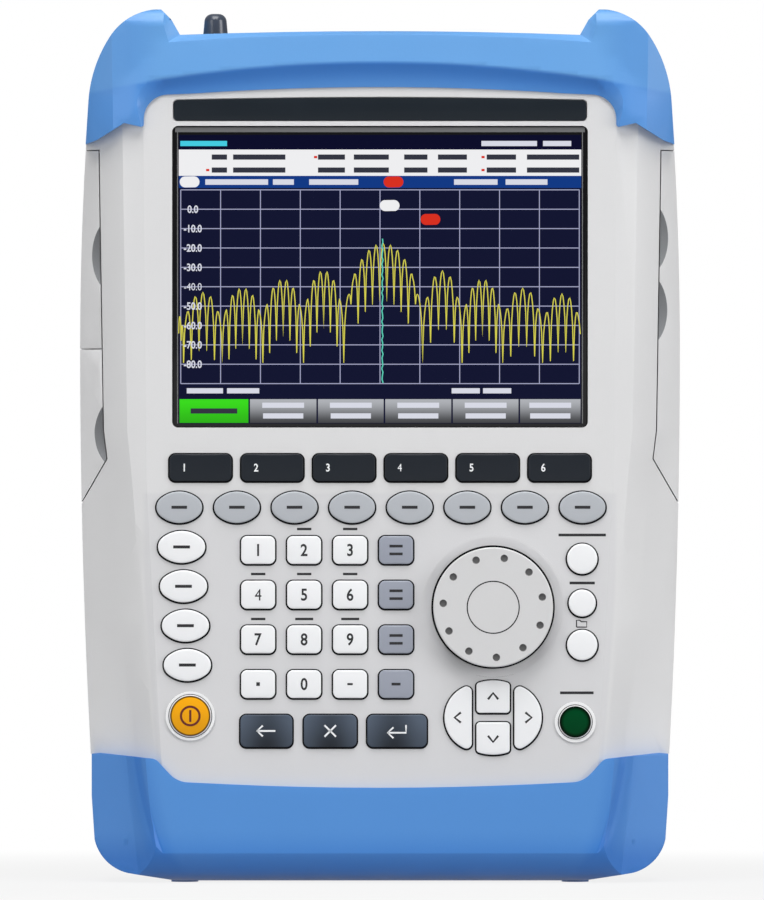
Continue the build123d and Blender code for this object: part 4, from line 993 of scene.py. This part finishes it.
class ANALYZER_OT_keys(bpy.types.Operator):
    """Plastic of all the keys, and the dark line of painted shade round them"""
    bl_idname = "analyzer.keys"
    bl_label = "Keys"

    def execute(self, context):
        look = context.scene.analyzer_keys

        def round_key(node, radius, soft):
            """Paint of a round key: painted light that makes it brighter above, darker to a line at a radius,
            and a light rim if there is room.
            """
            low, high = node_box(node)
            middle, outer = (low + high) / 2, (high.x - low.x) / 2

            def paint_of(paint, tone):
                across, _, height = paint.axes()
                across, height = across - middle.x, height - middle.z
                reach = across * across + height * height
                # Painted light: the key's tone, lighter above and darker below
                body = paint.mix(height.smooth(-radius, radius), shade(tone, 0.85), shade(tone, 1.12))
                edge = paint.mix(reach.smooth((radius - soft) ** 2, radius**2), body, shade(tone, 0.08))
                rim = (radius + 0.25) ** 2
                if outer < radius + 0.8:
                    return edge
                return paint.mix(reach.smooth(rim, rim + 2.0), edge, linear(232, 232, 233))

            return paint_of

        def broad_shade(paint, tone):
            """Painted highlight on back, cancel and enter: each one is lighter on its right side and above.
            """
            across, _, height = paint.axes()
            low, high = node_box("key_cancel")
            period = node_box("key_enter")[0].x - low.x
            turn = (across - ((low.x + high.x) / 2 + period / 4)) * (2 * pi / period)
            share = (turn.wave() * 0.5 + 0.5) * 0.6 + height.smooth(low.z, high.z) * 0.4
            return paint.mix(share, shade(tone, 1.2), shade(tone, 7.0))

        finishes = {}
        for name, roughness, second, specular in (
            ("white", 0.38, None, 0.5), ("grey", 0.4, None, 0.5), ("unit", 0.4, None, 0.5),
            ("slate", 0.36, None, 0.2), ("orange", 0.32, round_key("power_key", 6.4, 0.4), 0.2),
            ("green", 0.3, round_key("preset_key", 4.9, 1.4), 0.05),
        ):
            finishes[name + "_key"] = moulded(
                name + "_key_plastic", getattr(look, name), roughness, second=second, specular=specular
            )
        broad = moulded("broad_key_plastic", look.slate, 0.36, second=broad_shade, specular=0.2)
        # Dark skirts: the keys' rubber and painted shade in the gaps; the flat rings round the keys on the
        # panel are painted shade
        skirt = moulded("key_skirt", context.scene.analyzer_case.gap, 0.7, specular=0.1)
        form = bmesh.new()
        for node, slot in SLOT_OF.items():
            if slot in finishes:
                wide = node in ("key_back", "key_cancel", "key_enter")
                crowned_key(node, broad if wide else finishes[slot], skirt)
                if slot not in ("orange_key", "green_key"):
                    gasket(form, outline_of(node), 0.22, 0.52)
        add_piece("key_gaskets", form_mesh("key_gaskets", form), CASE, "grey_case", skirt)
        return {"FINISHED"}


class ANALYZER_OT_key_marks(bpy.types.Operator):
    """Digits, arrows and plain marks on the keys and beside them"""
    bl_idname = "analyzer.key_marks"
    bl_label = "Key marks"

    def execute(self, context):
        look = context.scene.analyzer_keys
        dark = printed("dark_ink", look.ink)
        pale = printed("pale_ink", look.pale_ink)
        brown = printed("brown_ink", linear(96, 16, 4))
        ink = look.ink_thickness

        def face_of(node):
            low, high = node_box(node)
            return (low.x + high.x) / 2, low.y - ink * 0.5, (low.z + high.z) / 2

        def mark(node, mesh, material):
            add_piece("mark_" + node, mesh, BODY_OF[node], SLOT_OF[node], material)

        def digits(node, text, height, material, shift=0.0):
            x, front, z = face_of(node)
            mark(node, word_mesh("mark_" + node, text, height, (x + shift, z), front, ink), material)

        def strokes(node, lines, width, material):
            x, front, z = face_of(node)
            form = bmesh.new()
            for points in lines:
                ribbon(form, [(x + px, z + pz) for px, pz in points], width, front, ink)
            mark(node, form_mesh("mark_" + node, form), material)

        for number in range(10):
            digits(f"key_{number}", str(number), look.digit_height, dark)
        for number in range(1, 7):
            digits(f"softkey_{number}", str(number), 2.6, pale, -5.4)
        # Words are left out: one or two short bars, of a half length, stand on the keys that have them
        for nodes, half, heights, width in (
            ("point", 0.6, (0,), 1.2), ("sign", 0.9, (0,), 0.7),
            ("bandwidth sweep trace lines mode measure marker marker_to", 2.6, (0,), 1.0),
            ("frequency span amplitude user", 2.8, (0,), 1.0),
            ("ghz mhz khz", 2.2, (1.3, -1.3), 0.9), ("hz", 1.5, (0,), 0.9),
        ):
            for node in nodes.split():
                strokes("key_" + node, [[(-half, z), (half, z)] for z in heights], width, dark)
        strokes("key_back", [[(3, 0), (-3, 0)], [(-1.2, 1.8), (-3.1, 0), (-1.2, -1.8)]], 0.6, pale)
        strokes("key_cancel", [[(-1.9, -1.9), (1.9, 1.9)], [(-1.9, 1.9), (1.9, -1.9)]], 0.6, pale)
        enter = [[(3, 2), (3, -0.6), (-3, -0.6)], [(-1.2, 1.2), (-3.1, -0.6), (-1.2, -2.4)]]
        strokes("key_enter", enter, 0.6, pale)
        chevron = [(-1.7, -0.9), (0, 1.2), (1.7, -0.9)]
        for node, turn in (("up", 0), ("left", 90), ("down", 180), ("right", 270)):
            c, s = cos(radians(turn)), sin(radians(turn))
            arrow = [(c * px - s * pz, s * px + c * pz) for px, pz in chevron]
            strokes("cursor_" + node, [arrow], 0.75, dark)
        ring = [(3.1 * cos(radians(a)), 3.1 * sin(radians(a))) for a in range(0, 361, 12)]
        strokes("power_key", [ring, [(0, -2.0), (0, 2.0)]], 0.75, brown)
        # Labels on the panel, as bars and a folder outline: (middle x, half length, z, half height)
        labels = [(67.4, 7.9, 116.0, 0.45), (67.4, 4.2, 100.0, 0.45), (65.6, 5.6, 63.4, 0.45)]
        first_x, first_z, pitch_x, pitch_z = -40.6, 118.0, 15.33, 15.0
        for place in range(1, 9):
            row, column = divmod(place, 3)
            half = 3.0 if row == 2 and column else 2.4
            labels.append((first_x + pitch_x * column, half, first_z - pitch_z * row, 0.4))
        form = bmesh.new()
        front = PANEL_FACE_Y - ink * 0.5
        for x, half, z, thin in labels:
            front_bar(form, x - half, x + half, z - thin, z + thin, front, ink)
        folder = [
            (65.5, 85.3), (65.5, 87.6), (66.6, 87.6), (67.1, 87.1), (68.9, 87.1), (68.9, 85.3), (65.5, 85.3),
        ]
        ribbon(form, folder, 0.42, front, ink)
        add_piece("panel_marks", form_mesh("panel_marks", form), CASE, "grey_case", dark)
        return {"FINISHED"}


class ANALYZER_OT_knob(bpy.types.Operator):
    """Rotary knob with its dimples and the ring round its centre, both darkened with painted shade"""
    bl_idname = "analyzer.knob"
    bl_label = "Knob"

    def execute(self, context):
        tone = context.scene.analyzer_keys.knob
        plastic = moulded("knob_plastic", tone, 0.36, 0.5)
        # Dimples and the centre groove are painted dark: painted shade in the hollows
        hollow = moulded("knob_dimples", shade(tone, 0.26), 0.6, specular=0.2)
        groove = moulded("knob_groove", context.scene.analyzer_case.gap, 0.6, specular=0.2)
        low, high = node_box("rotary_knob")
        centre = Vector(((low.x + high.x) / 2, (low.z + high.z) / 2))
        outer = (high.x - low.x) / 2
        edge_reach, edge_depth, sharpness = 1.3, 1.25, 0.4
        mesh = merged_copy("rotary_knob")
        for vertex in mesh.vertices:
            place = vertex.co / MM
            spoke = Vector((place.x, place.z)) - centre
            if spoke.length > outer - edge_reach and place.y < low.y + edge_depth:
                spoke *= (outer - (outer - spoke.length) * sharpness) / spoke.length
                vertex.co.x, vertex.co.z = (centre + spoke) * MM
                vertex.co.y = (low.y + (place.y - low.y) * sharpness) * MM

        def pick(place, normal):
            radius = (Vector((place.x, place.z)) - centre).length
            if place.y < low.y + 0.06 or radius > outer - 1:
                return 0
            return 2 if radius < outer / 2 else 1 if place.y < low.y + 1.1 else 0

        stand_in("rotary_knob", mesh, [plastic, hollow, groove], pick)
        return {"FINISHED"}


class ANALYZER_OT_connectors(bpy.types.Operator):
    """Jacks between the horns, with the dust cap on the antenna jack"""
    bl_idname = "analyzer.connectors"
    bl_label = "Connectors"

    def execute(self, context):
        thread = metal("jack_nickel", linear(198, 200, 203), 0.22, thread=1.06)
        cap = glossy("dust_cap_plastic", linear(58, 66, 80), 0.28)
        cap_side, cap_foot = -48, 265.2

        def pick(place, normal):
            return int(place.x < cap_side and place.z > cap_foot)

        rounded_copy("top_connectors", 0.25, [thread, cap], pick, segments=2)
        return {"FINISHED"}


class ANALYZER_OT_electronics(bpy.types.Operator):
    """Boards with their jacks, battery pack and screws"""
    bl_idname = "analyzer.electronics"
    bl_label = "Boards, battery and screws"

    def execute(self, context):
        board = Paint("board_lacquer")
        across, _, height = board.axes()
        tracks = (across * 2.4).wave().low((height * 2.1).wave()).smooth(0.2, 0.4)
        board.set("Base Color", board.mix(tracks, linear(20, 74, 44), linear(46, 118, 70)))
        board.set("Roughness", 0.34 + board.noise(3.0) * 0.15)
        board.relief(tracks, 0.03)
        shell = metal("jack_shell", linear(186, 188, 190), 0.3)
        liner = moulded("jack_liner", linear(30, 31, 34), 0.5, 0.4, 0.006)
        port_side = -83.1

        def pick(place, normal):
            if place.x >= port_side:
                return 0
            return 1 if abs(normal.x) < 0.5 else 2

        rounded_copy("circuit_boards", 0.15, [board.material, shell, liner], pick, segments=1)
        dress("battery_pack", moulded("battery_shell", linear(44, 46, 50), 0.55, 0.5, 0.012))
        dress("housing_screws", metal("screw_steel", linear(150, 152, 156), 0.32))
        return {"FINISHED"}


class ANALYZER_OT_stage(bpy.types.Operator):
    """Pale floor, soft studio light and the camera at the photograph's angle"""
    bl_idname = "analyzer.stage"
    bl_label = "Stage"

    def execute(self, context):
        scene = context.scene
        look = scene.analyzer_stage
        floor = Paint("floor_paper", specular=0.2)
        fibres = floor.noise(30.0, 3.0)
        floor.set("Base Color", floor.mix(fibres, (0.4, 0.4, 0.4), (0.44, 0.44, 0.44)))
        floor.set("Roughness", 0.8 + fibres * 0.1)
        # The camera and mirrored rays see it mostly as plain white, and wholly so far out
        seen = floor.node("ShaderNodeLightPath", output="Is Camera Ray")
        mirrored = floor.node("ShaderNodeLightPath", output="Is Glossy Ray")
        across, deep, _ = floor.axes()
        far = (across * across + deep * deep).smooth(150.0**2, 420.0**2)
        white = floor.node("ShaderNodeEmission", inputs={"Color": (1, 1, 1), "Strength": 1.0})
        share = seen.high(mirrored) * (0.85 + far * 0.15)
        blend = floor.node(
            "ShaderNodeMixShader", inputs={0: share, 1: Value(floor, floor.shader.outputs[0]), 2: white}
        )
        floor.tree.links.new(blend.socket, floor.surface.inputs["Surface"])
        form = bmesh.new()
        form.faces.new([form.verts.new((x, y, 0)) for x, y in ((-8, -8), (8, -8), (8, 8), (-8, 8))])
        mesh = form_mesh("floor", form)
        mesh.materials.append(floor.material)
        piece = placed("floor", mesh)

        world = bpy.data.worlds.new("studio")
        scene.world = world
        world.use_nodes = True
        nodes, links = world.node_tree.nodes, world.node_tree.links
        nodes.clear()
        path = nodes.new("ShaderNodeLightPath")
        either = nodes.new("ShaderNodeMixShader")
        end = nodes.new("ShaderNodeOutputWorld")
        links.new(path.outputs["Is Camera Ray"], either.inputs[0])
        for index, strength in ((1, look.sky), (2, 1.0)):
            sky = nodes.new("ShaderNodeBackground")
            sky.inputs["Color"].default_value = (1.0, 1.0, 1.0, 1.0)
            sky.inputs["Strength"].default_value = strength
            links.new(sky.outputs[0], either.inputs[index])
        links.new(either.outputs[0], end.inputs[0])

        for name, power, place, span in (
            ("key_lamp", look.key_light, (-0.1, -0.95, 2.3), 1.9),
            ("left_lamp", look.fill_light * 0.5, (-1.7, -1.7, 0.7), 1.2),
            ("right_lamp", look.fill_light, (2.1, -1.3, 0.7), 1.2),
        ):
            lamp = bpy.data.lights.new(name, "AREA")
            lamp.energy = power
            lamp.size = span
            holder = placed(name, lamp)
            holder.location = place
            aim = Vector((0, 0, 0.15)) - holder.location
            holder.rotation_euler = aim.to_track_quat("-Z", "Y").to_euler()

        # Places on the photograph are in its own image points
        photo_wide, photo_tall, origin_x, ground_y, sensor = 764, 900, 380, 883, 36.0
        point = MM / look.scale
        camera = bpy.data.cameras.new("photo_camera")
        camera.sensor_fit = "VERTICAL"
        camera.sensor_height = camera.sensor_width = sensor
        camera.lens = sensor * look.distance / (photo_tall * point)
        camera.clip_end = 50.0
        holder = placed("photo_camera", camera)
        holder.location = (
            (photo_wide / 2 - origin_x) * point,
            PANEL_FACE_Y * MM - look.distance,
            (ground_y - photo_tall / 2) * point,
        )
        holder.rotation_euler = (pi / 2, 0, 0)
        scene.camera = holder
        scene.view_settings.view_transform = "Standard"
        return {"FINISHED"}


class ANALYZER_PT_panel(bpy.types.Panel):
    """Lists the pieces, sizes and colours of the analyzer"""
    bl_idname = "ANALYZER_PT_panel"
    bl_label = "Spectrum analyzer"
    bl_space_type = "VIEW_3D"
    bl_region_type = "UI"
    bl_category = "Analyzer"

    def draw(self, context):
        for group in GROUPS:
            box = self.layout.box()
            values = getattr(context.scene, group)
            for name in values.bl_rna.properties.keys():
                if name not in ("rna_type", "name"):
                    box.prop(values, name)
        for operator in OPERATORS:
            self.layout.operator(operator.bl_idname)


OPERATORS = [
    ANALYZER_OT_stage, ANALYZER_OT_housings, ANALYZER_OT_doors, ANALYZER_OT_bumpers, ANALYZER_OT_plate,
    ANALYZER_OT_screen, ANALYZER_OT_keys, ANALYZER_OT_key_marks, ANALYZER_OT_knob,
    ANALYZER_OT_connectors, ANALYZER_OT_electronics,
]


def register():
    """Registers the groups, operators and the panel."""
    for name, group in GROUPS.items():
        bpy.utils.register_class(group)
        setattr(bpy.types.Scene, name, PointerProperty(type=group))
    for kind in (*OPERATORS, ANALYZER_PT_panel):
        bpy.utils.register_class(kind)


def unregister():
    """Takes everything out again."""
    for kind in (ANALYZER_PT_panel, *reversed(OPERATORS)):
        bpy.utils.unregister_class(kind)
    for name, group in GROUPS.items():
        delattr(bpy.types.Scene, name)
        bpy.utils.unregister_class(group)


def main():
    """Makes every piece in order."""
    register()
    for operator in OPERATORS:
        family, name = operator.bl_idname.split(".")
        getattr(getattr(bpy.ops, family), name)()


if __name__ == "__main__":
    main()
